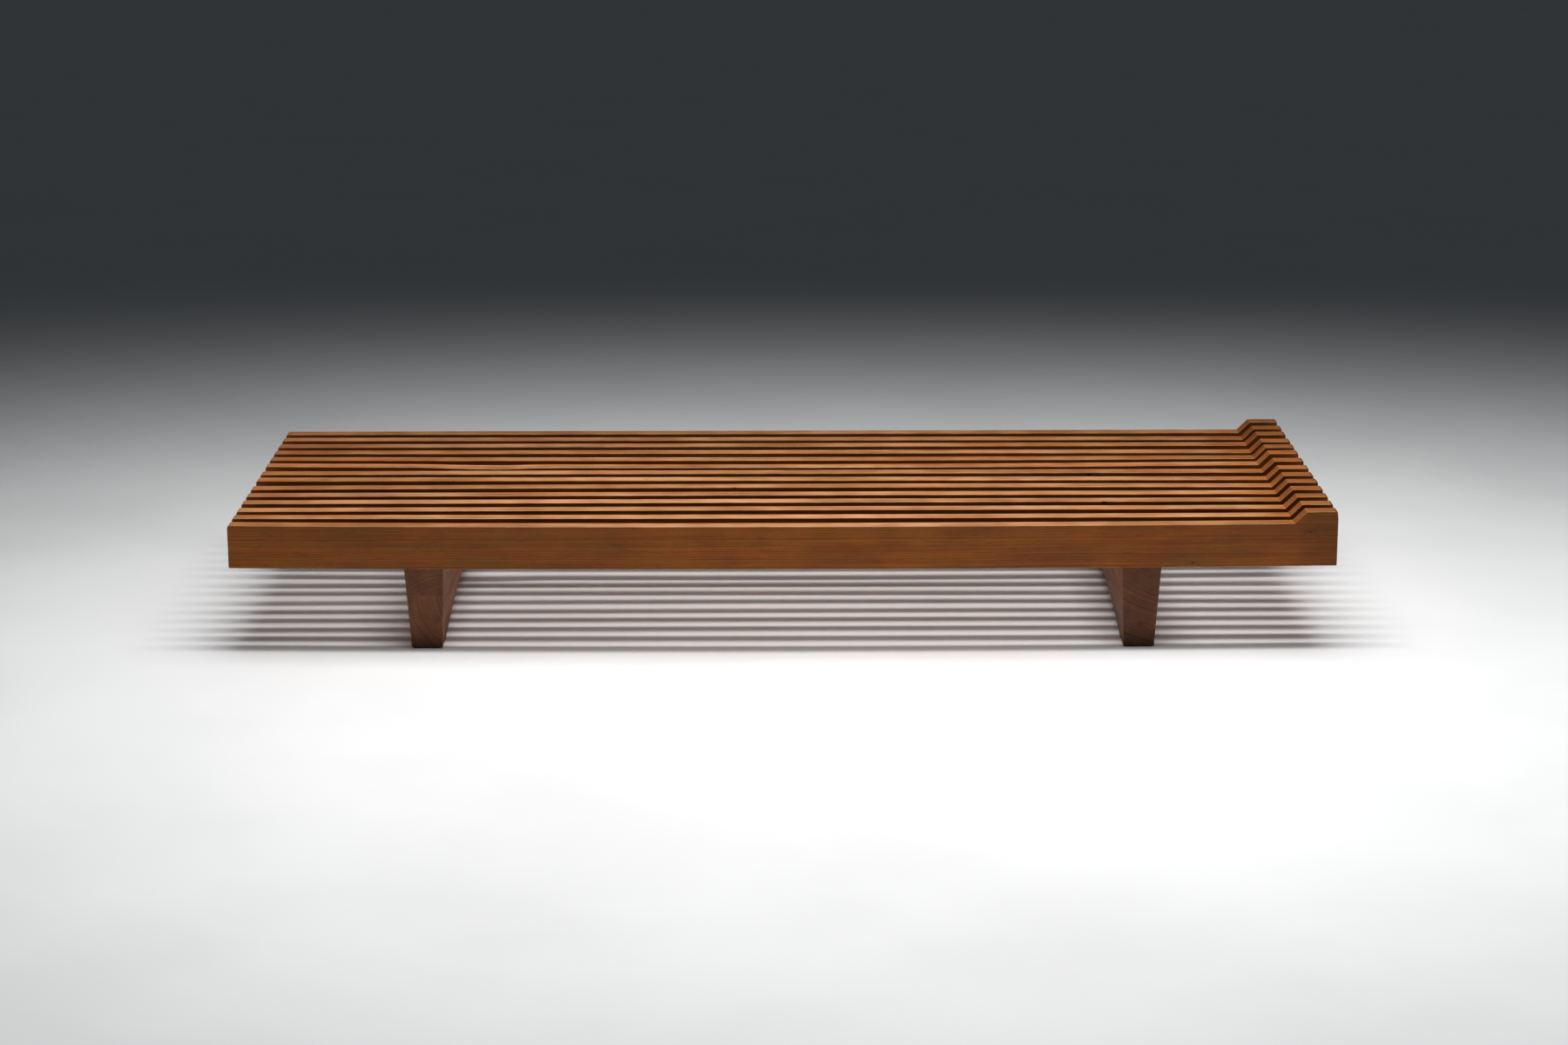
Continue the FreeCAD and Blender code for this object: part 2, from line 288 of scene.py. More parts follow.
@dataclass
class Board:
    """A board with two wide faces, a rim, eased arrises and mortises.

    Its own coordinates are the place along it, the height in the plane of its wide faces
    and the place across its thickness. A share across runs from 0 at the face on the side
    that along x up points to, to 1 at the other face.
    """

    node: str
    cut: LogCut
    seed: int
    slot_name: str
    arris: float = 1.2 * MM
    arris_unevenness: float = 0.30
    fade_width: float = 3.0 * MM
    planing_depth: float = 0.12 * MM
    end_fade: float = 9.0 * MM
    corner_steps: int = 3
    mortise_side: Hold = Hold.LOW
    across_sign: float = 1.0

    def outline(self) -> Outline:
        """Return the edge of the board seen square to its wide faces."""
        raise NotImplementedError

    def across(self, along: np.ndarray, height: np.ndarray, share: np.ndarray) -> np.ndarray:
        """Return the place across the board at a share of its thickness."""
        raise NotImplementedError

    def place(self, along: np.ndarray, height: np.ndarray, across: np.ndarray) -> np.ndarray:
        """Return points of the bench for points of the board."""
        raise NotImplementedError

    def centre_line(self, along: np.ndarray) -> np.ndarray:
        """Return the place across the board that its grain follows."""
        raise NotImplementedError

    def mortises(self) -> list[Mortise]:
        """Return the board's mortises."""
        return []

    def sheen_fade_share(self, along: np.ndarray) -> np.ndarray:
        """Return the share of the paler top at each place along it: painted sheen, with real fading
        in the sun.
        """
        return np.ones_like(along)

    def reddening(self, along: np.ndarray) -> np.ndarray:
        """Return how much redder than its usual the wood is at each place along it."""
        return np.zeros_like(along)

    def dimming(self, along: np.ndarray) -> np.ndarray:
        """Return how much darker than its usual the wood is at each place along it."""
        return np.zeros_like(along)

    def easing(self, loop: np.ndarray) -> np.ndarray:
        """Return the radius of the arrises at every point of the loop.

        Formula: the usual radius times one plus a slow uneven wave.
        """
        wave = slow_waves(loop[:, 0] + loop[:, 1], self.seed + 7, (0.31, 0.12, 0.047))
        return self.arris * (1.0 + self.arris_unevenness * wave)

    def rim(self, edge: Outline) -> dict[str, np.ndarray]:
        """Work out the band between the two wide faces.

        Formula: an arris row at the angle t lies in from the outline by r (1 - sin t) and in
        from the face by r (1 - cos t), for t from 0 to a quarter turn. Four more rows cross
        the rim between the arrises: two beside them and two at the edges of the mortises.

        Args:
            edge: The board's outline.

        Returns:
            Arrays by loop point and row, named along, height, across, worn, end_grain and
            upward.
        """
        loop = edge.loop()
        outward, bend = loop_normals(loop)
        radius = self.easing(loop)
        turns = np.radians([0.0, 30.0, 60.0, 90.0])
        inset = radius[:, None] * (1.0 - np.sin(turns))
        inward = radius[:, None] * (1.0 - np.cos(turns))
        flat = np.zeros((len(loop), 4))
        insets = np.concatenate([inset, flat, inset[:, ::-1]], axis=1)
        points = loop[:, None, :] - outward[:, None, :] * insets[..., None]
        along, height = points[..., 0], points[..., 1]
        thick = np.abs(self.across(along, height, np.ones_like(along))
                       - self.across(along, height, np.zeros_like(along)))
        fade = self.fade_width / thick
        slot = self.slot_half_width() / thick
        share = np.concatenate([
            inward / thick[:, :4], fade[:, 4:5], 0.5 - slot[:, 5:6],
            0.5 + slot[:, 6:7], 1.0 - fade[:, 7:8], 1.0 - inward[:, ::-1] / thick[:, 8:]], axis=1)
        across = self.across(along, height, share)
        rounded = np.array([0.5, 1.0, 1.0, 0.5])
        row_wear = np.concatenate([rounded, np.zeros(4), rounded])
        corner_wear = np.clip(bend * 1.5 * MM, 0.0, 1.0)
        facing = np.concatenate([np.sin(turns), np.ones(4), np.sin(turns)[::-1]]) ** 2
        return {
            "along": along, "height": height, "across": across,
            "worn": np.maximum(row_wear[None, :], corner_wear[:, None] * facing[None, :]),
            "end_grain": (outward[:, :1] ** 2) * facing[None, :],
            # Painted sheen, with real fading in the sun: faces that look up carry the paler tint.
            "top_sheen_fade": (np.clip(outward[:, 1:], 0.0, 1.0) ** 2 * facing[None, :]
                       * self.sheen_fade_share(along)),
        }

    def slot_half_width(self) -> float:
        """Return half the width of a mortise across the board."""
        return 5.2 * MM

    def build(self) -> bpy.types.Object:
        """Build the board's closed surface and give it the attributes of its figure.

        Returns:
            The new object.
        """
        edge = self.outline()
        band = self.rim(edge)
        count, rows = band["along"].shape
        names = ("along", "height", "across", "worn", "end_grain", "top_sheen_fade")
        index = np.arange(count * rows).reshape(count, rows)
        held = np.zeros((count, rows), bool)
        sunk: list[tuple[np.ndarray, Mortise]] = []
        columns = len(edge.low)
        on_side = np.arange(count) < columns
        if self.mortise_side is Hold.HIGH:
            first = columns + len(edge.far) - 2
            on_side = (np.arange(count) >= first) & (np.arange(count) < first + columns)
        for hole in self.mortises():
            line = band["along"][:, 5]
            inside = on_side & (line > hole.start - 1e-6) & (line < hole.stop + 1e-6)
            ring = np.flatnonzero(inside)
            band["across"][ring, 5] = hole.middle - self.across_sign * hole.half_width
            band["across"][ring, 6] = hole.middle + self.across_sign * hole.half_width
            held[ring[:-1], 5] = True
            sunk.append((ring, hole))
        parts = {name: [band[name].ravel()] for name in names}

        after = np.roll(index, -1, axis=0)
        quads = np.stack([index[:, :-1], index[:, 1:], after[:, 1:], after[:, :-1]], axis=-1)
        faces = [quads[~held[:, :-1]]]
        total = count * rows

        column, row = edge.grid_places()
        for face_row, flip in ((0, False), (rows - 1, True)):
            ring = np.stack([band["along"][:, face_row], band["height"][:, face_row]], axis=-1)
            grid = edge.split(ring).fill(self.end_fade)
            inner = grid[1:-1, 1:-1]
            numbers = np.empty(grid.shape[:2], int)
            numbers[1:-1, 1:-1] = total + np.arange(inner.shape[0] * inner.shape[1]) \
                .reshape(inner.shape[:2])
            numbers[column, row] = index[:, face_row]
            total += inner.shape[0] * inner.shape[1]
            along, height = inner[..., 0].ravel(), inner[..., 1].ravel()
            share = np.full_like(along, 1.0 if flip else 0.0)
            parts["along"].append(along)
            parts["height"].append(height)
            parts["across"].append(self.across(along, height, share))
            for name in ("worn", "end_grain", "top_sheen_fade"):
                parts[name].append(np.zeros_like(along))
            cells = np.stack([numbers[:-1, :-1], numbers[1:, :-1],
                              numbers[1:, 1:], numbers[:-1, 1:]], axis=-1).reshape(-1, 4)
            faces.append(cells[:, ::-1] if flip else cells)

        for ring, hole in sunk:
            rise = hole.depth if self.mortise_side is Hold.LOW else -hole.depth
            deep = total + np.arange(2 * len(ring)).reshape(-1, 2)
            total += 2 * len(ring)
            lip = index[ring][:, 5:7]
            for name in names:
                values = band[name][ring][:, 5:7]
                parts[name].append((values + (rise if name == "height" else 0.0)).ravel())
            faces += [
                np.stack([deep[:-1, 0], deep[:-1, 1], deep[1:, 1], deep[1:, 0]], axis=-1),
                np.stack([lip[1:, 0], lip[:-1, 0], deep[:-1, 0], deep[1:, 0]], axis=-1),
                np.stack([lip[:-1, 1], lip[1:, 1], deep[1:, 1], deep[:-1, 1]], axis=-1),
                np.array([[lip[0, 0], lip[0, 1], deep[0, 1], deep[0, 0]],
                          [lip[-1, 1], lip[-1, 0], deep[-1, 0], deep[-1, 1]]]),
            ]

        flat = {name: np.concatenate(parts[name]) for name in names}
        points = self.place(flat["along"], flat["height"], flat["across"])
        made = new_surface(self.node.replace("_", "-") + "-board", points,
                           np.concatenate(faces))
        self.mark(made, flat)
        return made

    def mark(self, made: bpy.types.Object, flat: dict[str, np.ndarray]) -> None:
        """Store what the wood's finish reads at each point of the board.

        Formula: the place in the log is the board's own place turned by the roll, plus the
        board's middle seen from the pith.

        Args:
            made: The board's object.
            flat: The board's own coordinates and masks at each point.
        """
        middle = 0.5 * (flat["height"].min() + flat["height"].max())
        beside = flat["across"] - self.centre_line(flat["along"])
        above = flat["height"] - middle
        roll = math.radians(self.cut.roll_degrees)
        log = np.stack([
            flat["along"] + self.cut.along,
            math.cos(roll) * beside - math.sin(roll) * above + self.cut.across,
            math.sin(roll) * beside + math.cos(roll) * above + self.cut.up], axis=-1)
        store(made, "log_place", log)
        for name in ("worn", "end_grain", "top_sheen_fade"):
            store(made, name, flat[name])
        store(made, "tone", self.cut.tone - self.dimming(flat["along"]))
        store(made, "blush", self.cut.blush + self.reddening(flat["along"]))

    def dress(self, made: bpy.types.Object, finish: bpy.types.Material) -> None:
        """Give the board its finish and let it stand for its node."""
        made.data.materials.append(finish)
        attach(made, ROOT_BODY)
        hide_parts(self.node)


def new_surface(name: str, points: np.ndarray, faces: np.ndarray) -> bpy.types.Object:
    """Make an object from arrays of points and faces, smooth but for its sharp turns.

    Args:
        name: Name of the object and its mesh.
        points: Point places.
        faces: Point numbers of the four-sided faces.

    Returns:
        The object, linked to the scene at the origin.
    """
    mesh = bpy.data.meshes.new(name)
    mesh.from_pydata(points.tolist(), [], faces.tolist())
    mesh.validate()
    mesh.shade_smooth()
    mesh.set_sharp_from_angle(angle=math.radians(50.0))
    made = bpy.data.objects.new(name, mesh)
    bpy.context.scene.collection.objects.link(made)
    return made


def store(made: bpy.types.Object, name: str, values: np.ndarray) -> None:
    """Store one number or one vector for each point of an object's mesh."""
    vector = values.ndim == 2
    kind = "FLOAT_VECTOR" if vector else "FLOAT"
    attribute = made.data.attributes.new(name, kind, "POINT")
    attribute.data.foreach_set("vector" if vector else "value",
                               values.astype(np.float32).ravel())


@dataclass(frozen=True)
class DeckSizes:
    """Sizes that the slats and the beams share."""

    length: float = 2000 * MM
    depth: float = 800 * MM
    thickness: float = 30 * MM
    count: int = 14
    centre_y: float = 4.969 * MM
    underside: float = 149 * MM
    crossing: float = 647.5 * MM
    tenon_half_length: float = 20.2 * MM
    tenon_half_width: float = 5.2 * MM
    mortise_depth: float = 31.5 * MM

    @property
    def pitch(self) -> float:
        """Return the even distance from one slat to the next."""
        return (self.depth - self.thickness) / (self.count - 1)

    @property
    def gap(self) -> float:
        """Return the even gap between two slats."""
        return self.pitch - self.thickness


@dataclass(frozen=True)
class Stray:
    """How a slat strays from its even place, as shares of the gap, plus towards the back."""

    foot: float = 0.0
    bow: float = 0.0
    head: float = 0.0


@dataclass(frozen=True)
class Crook:
    """Push of a knot towards the front: its place and reach along the slat and its depths."""

    place: float = -570 * MM
    reach: float = 150 * MM
    front: float = 13 * MM
    back: float = 8 * MM

    def push(self, along: np.ndarray, depth: np.ndarray) -> np.ndarray:
        """Return the push at each place.

        Formula: with u the distance from the knot over its reach, the push is the depth
        times 1 - 2 u^2 for the inner half and 2 (1 - u)^2 for the outer half.

        Args:
            along: Places along the slat.
            depth: Depth of the push at each place.

        Returns:
            The push, towards the front as a minus.
        """
        u = np.abs(along - self.place) / self.reach
        outer = np.where(u < 1.0, 2.0 * (1.0 - u) ** 2, 0.0)
        return -depth * np.where(u < 0.5, 1.0 - 2.0 * u ** 2, outer)


@dataclass
class Slat(Board):
    """One slat on edge, with its bow, its raised head end and two mortises below."""

    number: int = 1
    deck: DeckSizes = field(default_factory=DeckSizes)
    stray: Stray = field(default_factory=Stray)
    crook: Crook | None = None
    slat_height: float = 79 * MM
    head_rise: float = 21.5 * MM
    head_top: float = 57 * MM
    ramp_run: float = 22 * MM
    top_radius: float = 5 * MM
    ramp_radius: float = 3 * MM
    bottom_radius: float = 2 * MM
    station_step: float = 9 * MM
    shaded_length: float = 110 * MM
    head_shade: float = 0.70
    foot_shade_length: float = 420 * MM
    foot_shade: float = 0.35
    red_before_ramp: float = 0.3
    head_dimming: float = 1.4

    def even_y(self) -> float:
        """Return where the line between the slat's ends crosses the middle of the bench."""
        even = ((self.deck.count + 1) / 2 - self.number) * self.deck.pitch + self.deck.centre_y
        return even + (self.stray.foot + self.stray.head) / 2 * self.deck.gap

    def slope(self) -> float:
        """Return the slope of the line between the slat's ends."""
        return (self.stray.head - self.stray.foot) * self.deck.gap / self.deck.length

    def bow_line(self, along: np.ndarray) -> np.ndarray:
        """Return the bow: its height times one less the square of the share of half length."""
        share = along / (self.deck.length / 2)
        return self.stray.bow * self.deck.gap * (1.0 - share ** 2)

    def ramp_foot(self) -> float:
        """Return the place along the slat where its ramp starts."""
        return self.deck.length / 2 - self.head_top - self.ramp_run

    def sheen_fade_share(self, along: np.ndarray) -> np.ndarray:
        """Return how much of the slat's top takes the paler tint: painted sheen, with real fading in
        the sun.

        Formula: all of it in the middle, less over the last stretch of the foot end, and
        little on the head end, with eased steps between them.

        Args:
            along: Places along the slat.

        Returns:
            Shares of the full paler tint.
        """
        to_head = eased((along - self.ramp_foot()) / self.shaded_length + 1.0)
        to_foot = eased((-along - self.deck.length / 2) / self.foot_shade_length + 1.0)
        return (1.0 - self.head_shade * to_head) * (1.0 - self.foot_shade * to_foot)

    def reddening(self, along: np.ndarray) -> np.ndarray:
        """Return how much redder the wood is just before the ramp: eased in, and out over it."""
        short = (along - self.ramp_foot()) / self.shaded_length
        return self.red_before_ramp * eased(short + 1.0) * (1.0 - eased(short * 9.0))

    def dimming(self, along: np.ndarray) -> np.ndarray:
        """Return how much darker the wood is on the head end, eased in over its ramp."""
        return self.head_dimming * eased((along - self.ramp_foot()) / self.ramp_run)

    def across(self, along: np.ndarray, height: np.ndarray, share: np.ndarray) -> np.ndarray:
        """Return the place across the slat.

        Formula: a straight line from the front face to the back face. Each face is the bow
        line, half a thickness out, plus the knot's push, less what the planing took off.

        Args:
            along: Places along the slat.
            height: Heights above the slat's underside.
            share: 0 at the front face to 1 at the back face.

        Returns:
            Places across, plus towards the back.
        """
        side = 2.0 * share - 1.0
        planed = 0.5 + 0.5 * slow_waves(along + 0.9 * height * side, self.seed, (0.43, 0.19, 0.083))
        half = self.deck.thickness / 2 - self.planing_depth * planed
        line = self.bow_line(along) + side * half
        if self.crook is None:
            return line
        depth = self.crook.front * (1.0 - share) + self.crook.back * share
        return line + self.crook.push(along, depth)

    def centre_line(self, along: np.ndarray) -> np.ndarray:
        """Return the line that the slat's grain follows."""
        if self.crook is None:
            return self.bow_line(along)
        middle = np.full_like(along, (self.crook.front + self.crook.back) / 2)
        return self.bow_line(along) + self.crook.push(along, middle)

    def place(self, along: np.ndarray, height: np.ndarray, across: np.ndarray) -> np.ndarray:
        """Return points of the bench: the slat's plan turned by its slope and set on the beams."""
        angle = math.atan(self.slope())
        planed = 0.5 + 0.5 * slow_waves(along, self.seed + 3, (0.37, 0.15, 0.07))
        lift = np.clip(height / self.slat_height - 0.5, 0.0, 0.5) * 2.0
        return np.stack([
            along * math.cos(angle) - across * math.sin(angle),
            along * math.sin(angle) + across * math.cos(angle) + self.even_y(),
            height + self.deck.underside - self.planing_depth * planed * lift], axis=-1)

    def mortises(self) -> list[Mortise]:
        """Return the two mortises over the beams."""
        deck = self.deck
        return [Mortise(x - deck.tenon_half_length, x + deck.tenon_half_length,
                        float(self.centre_line(np.array([x]))[0]), deck.tenon_half_width,
                        deck.mortise_depth)
                for x in (-deck.crossing, deck.crossing)]

    def outline(self) -> Outline:
        """Return the slat's edge seen from the front: deck, ramp and raised head end."""
        half, top = self.deck.length / 2, self.slat_height
        head, steps = self.slat_height + self.head_rise, self.corner_steps
        ramp_top = half - self.head_top
        ramp_foot = self.ramp_foot()
        foot_low, head_low = np.array([-half, 0.0]), np.array([half, 0.0])
        foot_high, head_high = np.array([-half, top]), np.array([half, head])
        inner, outer = np.array([ramp_foot, top]), np.array([ramp_top, head])
        fixed = [x + s * self.deck.tenon_half_length
                 for x in (-self.deck.crossing, self.deck.crossing) for s in (-1, 1)]
        if self.crook is not None:
            fixed += [self.crook.place + s * self.crook.reach for s in (-1, -0.5, 0, 0.5, 1)]

        start = arc_round(foot_low, foot_high, inner, self.top_radius, steps)
        ramp_in = arc_round(foot_high, inner, outer, self.ramp_radius, steps)
        ramp_out = arc_round(inner, outer, head_high, self.ramp_radius, steps)
        finish = arc_round(outer, head_high, head_low, self.top_radius, steps)
        deck_x = stations(-half + self.top_radius, ramp_in[0, 0], self.station_step, fixed)
        head_x = stations(ramp_out[-1, 0], half - self.top_radius, self.station_step, [])
        middle = np.concatenate([
            np.stack([deck_x, np.full_like(deck_x, top)], axis=-1), ramp_in, ramp_out,
            np.stack([head_x, np.full_like(head_x, head)], axis=-1)])
        high = np.concatenate([start[steps:], middle, finish[:steps + 1]])
        low_start = arc_round(foot_high, foot_low, head_low, self.bottom_radius, steps)
        low_finish = arc_round(foot_low, head_low, head_high, self.bottom_radius, steps)
        low_middle = np.stack([middle[:, 0], np.zeros(len(middle))], axis=-1)
        low = np.concatenate([low_start[steps:], low_middle, low_finish[:steps + 1]])
        rows = np.array([0.05, 0.13, 0.27, 0.45, 0.63, 0.79, 0.91])
        near_z = self.bottom_radius + rows * (top - self.top_radius - self.bottom_radius)
        far_z = self.bottom_radius + rows * (head - self.top_radius - self.bottom_radius)
        near = np.concatenate([low_start[steps::-1],
                               np.stack([np.full_like(near_z, -half), near_z], axis=-1),
                               start[:steps + 1]])
        far = np.concatenate([low_finish[steps:],
                              np.stack([np.full_like(far_z, half), far_z], axis=-1),
                              finish[steps::-1]])
        return Outline(low, high, near, far)


@dataclass
class BeamBoard(Board):
    """One board of a beam: tapered across, arched below, with the mortises of all the slats."""

    side: Side = Side.LEFT
    layer: Layer = Layer.WHOLE
    deck: DeckSizes = field(default_factory=DeckSizes)
    slats: list[Slat] = field(default_factory=list)
    beam_height: float = 147 * MM
    pad_height: float = 2 * MM
    glue_line: float = 97 * MM
    outer_top: float = 683 * MM
    outer_lean: float = 10.5 * MM
    top_width: float = 71 * MM
    foot_width: float = 55.5 * MM
    arch_rise: float = 38 * MM
    foot_length: float = 60 * MM
    corner_radius: float = 1.3 * MM
    glued_radius: float = 0.25 * MM
    glued_arris: float = 0.10 * MM
    glue_fade: float = 6.0 * MM
    station_step: float = 13 * MM

    def __post_init__(self) -> None:
        """Set the directions that a beam board has."""
        self.mortise_side = Hold.HIGH
        self.across_sign = -1.0

    def slot_half_width(self) -> float:
        """Return half the length of a tenon, which lies across the beam."""
        return self.deck.tenon_half_length

    def across(self, along: np.ndarray, height: np.ndarray, share: np.ndarray) -> np.ndarray:
        """Return the place across the beam, along the bench.

        Formula: a straight line from the face on the +X side to the other. The outer face
        leans in by its lean and the inner face by the rest of the taper, both in proportion
        to the distance below the top, and planing takes a little off both.

        Args:
            along: Places along the beam.
            height: Heights above the beam's foot.
            share: 0 at the face on the +X side to 1 at the other.

        Returns:
            Places along the bench.
        """
        up = height / self.beam_height
        planed = 0.5 + 0.5 * slow_waves(along + 1.3 * height, self.seed, (0.33, 0.14, 0.061))
        outer = self.outer_top - self.outer_lean * (1.0 - up) - self.planing_depth * planed
        foot = self.outer_top - self.outer_lean - self.foot_width
        inner = foot + (self.outer_top - self.top_width - foot) * up + self.planing_depth * planed
        if self.side is Side.RIGHT:
            return outer + (inner - outer) * share
        return -inner + (inner - outer) * share

    def centre_line(self, along: np.ndarray) -> np.ndarray:
        """Return the middle of the beam along the bench."""
        return np.full_like(along, self.side.value * self.deck.crossing)

    def place(self, along: np.ndarray, height: np.ndarray, across: np.ndarray) -> np.ndarray:
        """Return points of the bench: the beam runs from front to back, on its pads."""
        return np.stack([across, along + self.deck.centre_y, height + self.pad_height], axis=-1)

    def span(self) -> tuple[float, float]:
        """Return the lower and upper height of the board above the beam's foot."""
        lower = self.glue_line if self.layer is Layer.UPPER else 0.0
        upper = self.glue_line if self.layer is Layer.LOWER else self.beam_height
        return lower, upper

    def easing(self, loop: np.ndarray) -> np.ndarray:
        """Return the radius of the arrises at every point of the loop.

        Formula: the usual radius, fading out to almost nothing towards a glue line.
        """
        usual = super().easing(loop)
        if self.layer is Layer.WHOLE:
            return usual
        share = np.clip(np.abs(loop[:, 1] - self.glue_line) / self.glue_fade, 0.0, 1.0)
        return self.glued_arris + (usual - self.glued_arris) * share

    def mortises(self) -> list[Mortise]:
        """Return one mortise for every slat, where that slat crosses the beam."""
        if self.layer is Layer.LOWER:
            return []
        deck, x = self.deck, self.side.value * self.deck.crossing
        holes = []
        for slat in self.slats:
            line = float(slat.centre_line(np.array([x]))[0])
            y = slat.even_y() + slat.slope() * x + line - deck.centre_y
            holes.append(Mortise(y - deck.tenon_half_width, y + deck.tenon_half_width, x,
                                 deck.tenon_half_length, deck.mortise_depth))
        return holes

    def outline(self) -> Outline:
        """Return the board's edge seen along the bench: flat feet with an arch between them.

        Formula of the arch: a circle through both ends of its span and its crown.
        """
        half, steps = self.deck.depth / 2, self.corner_steps
        lower, upper = self.span()
        spring = half - self.foot_length
        corner = [np.array(p) for p in ((-half, lower), (half, lower), (half, upper),
                                        (-half, upper))]
        radii = [self.glued_radius if point[1] == self.glue_line else self.corner_radius
                 for point in corner]
        arcs = [arc_round(corner[i - 1], corner[i], corner[(i + 1) % 4], radii[i], steps)
                for i in range(4)]
        edges = [e for hole in self.mortises() for e in (hole.start, hole.stop)]
        fixed = edges + ([-spring, spring] if lower == 0.0 else [])
        y = stations(-half + self.corner_radius, half - self.corner_radius,
                     self.station_step, fixed)
        z = np.full_like(y, lower)
        if lower == 0.0:
            radius = (spring ** 2 + self.arch_rise ** 2) / (2 * self.arch_rise)
            arch = np.sqrt(radius ** 2 - np.minimum(np.abs(y), spring) ** 2)
            z = np.maximum(arch - (radius - self.arch_rise), 0.0)
        low = np.concatenate([arcs[0][steps:], np.stack([y, z], axis=-1), arcs[1][:steps + 1]])
        high = np.concatenate([arcs[3][steps::-1],
                               np.stack([y, np.full_like(y, upper)], axis=-1),
                               arcs[2][:steps - 1:-1]])
        rows = np.array([0.02, 0.05, 0.12, 0.25, 0.4, 0.55, 0.7, 0.83, 0.92, 0.98])
        heights = lower + radii[0] + rows * (upper - lower - radii[0] - radii[2])
        near = np.concatenate([arcs[0][steps::-1],
                               np.stack([np.full_like(heights, -half), heights], axis=-1),
                               arcs[3][:steps - 1:-1]])
        far = np.concatenate([arcs[1][steps:],
                              np.stack([np.full_like(heights, half), heights], axis=-1),
                              arcs[2][:steps + 1]])
        return Outline(low, high, near, far)


@dataclass
class FeltPad:
    """Pressed felt pad under one foot of a beam, with a rounded and slightly swollen edge."""

    node: str
    seed: int
    slot_name: str = "pad_felt"
    squareness: float = 9.0
    around: int = 144
    fray: float = 0.25 * MM

    def build(self) -> bpy.types.Object:
        """Build the pad as a surface over the angle round it and the way over its edge.

        Formula: at the angle t the pad reaches (|cos t / a|^n + |sin t / b|^n)^(-1/n) from
        its middle, with a and b half its sides. Rings run from the middle of the underside
        out to the edge, round it in a half circle, and back to the middle of the top.

        Returns:
            The new object.
        """
        low, high = (np.array(corner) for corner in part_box(self.node))
        middle, half = (low + high) / 2, (high - low) / 2
        angle = np.arange(self.around) * 2.0 * math.pi / self.around
        n = self.squareness
        reach = (np.abs(np.cos(angle)) ** n * half[0] ** -n
                 + np.abs(np.sin(angle)) ** n * half[1] ** -n) ** (-1.0 / n)
        uneven = slow_waves(angle * 6.0, self.seed, (5.1, 2.3, 1.3, 0.7))
        reach = reach - self.fray * (0.5 + 0.5 * uneven)
        swell = np.radians(np.linspace(-90.0, 90.0, 9))
        edge_in = half[2] * (1.0 - np.cos(swell))
        inner = np.array([0.12, 0.4, 0.7, 0.9])
        ring_share = np.concatenate([inner, np.ones(9), inner[::-1]])
        ring_in = np.concatenate([np.full(4, half[2]), edge_in, np.full(4, half[2])])
        ring_z = np.concatenate([np.full(4, -half[2]), half[2] * np.sin(swell),
                                 np.full(4, half[2])])
        size = (reach[None, :] - ring_in[:, None]) * ring_share[:, None]
        rings = np.stack([middle[0] + size * np.cos(angle), middle[1] + size * np.sin(angle),
                          np.broadcast_to(middle[2] + ring_z[:, None], size.shape)], axis=-1)
        count = len(ring_share) * self.around
        poles = np.array([[middle[0], middle[1], low[2]], [middle[0], middle[1], high[2]]])
        index = np.arange(count).reshape(len(ring_share), self.around)
        after = np.roll(index, -1, axis=1)
        band = np.stack([index[:-1], after[:-1], after[1:], index[1:]], axis=-1).reshape(-1, 4)
        bottom = np.stack([np.full(self.around, count), after[0], index[0]], axis=-1)
        top = np.stack([np.full(self.around, count + 1), index[-1], after[-1]], axis=-1)
        mesh = bpy.data.meshes.new(self.node)
        mesh.from_pydata(np.concatenate([rings.reshape(-1, 3), poles]).tolist(), [],
                         band.tolist() + bottom.tolist() + top.tolist())
        mesh.shade_smooth()
        made = bpy.data.objects.new(self.node.replace("_", "-") + "-felt", mesh)
        bpy.context.scene.collection.objects.link(made)
        return made

    def dress(self, made: bpy.types.Object, finish: bpy.types.Material) -> None:
        """Give the pad its finish and let it stand for its node."""
        made.data.materials.append(finish)
        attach(made, ROOT_BODY)
        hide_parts(self.node)


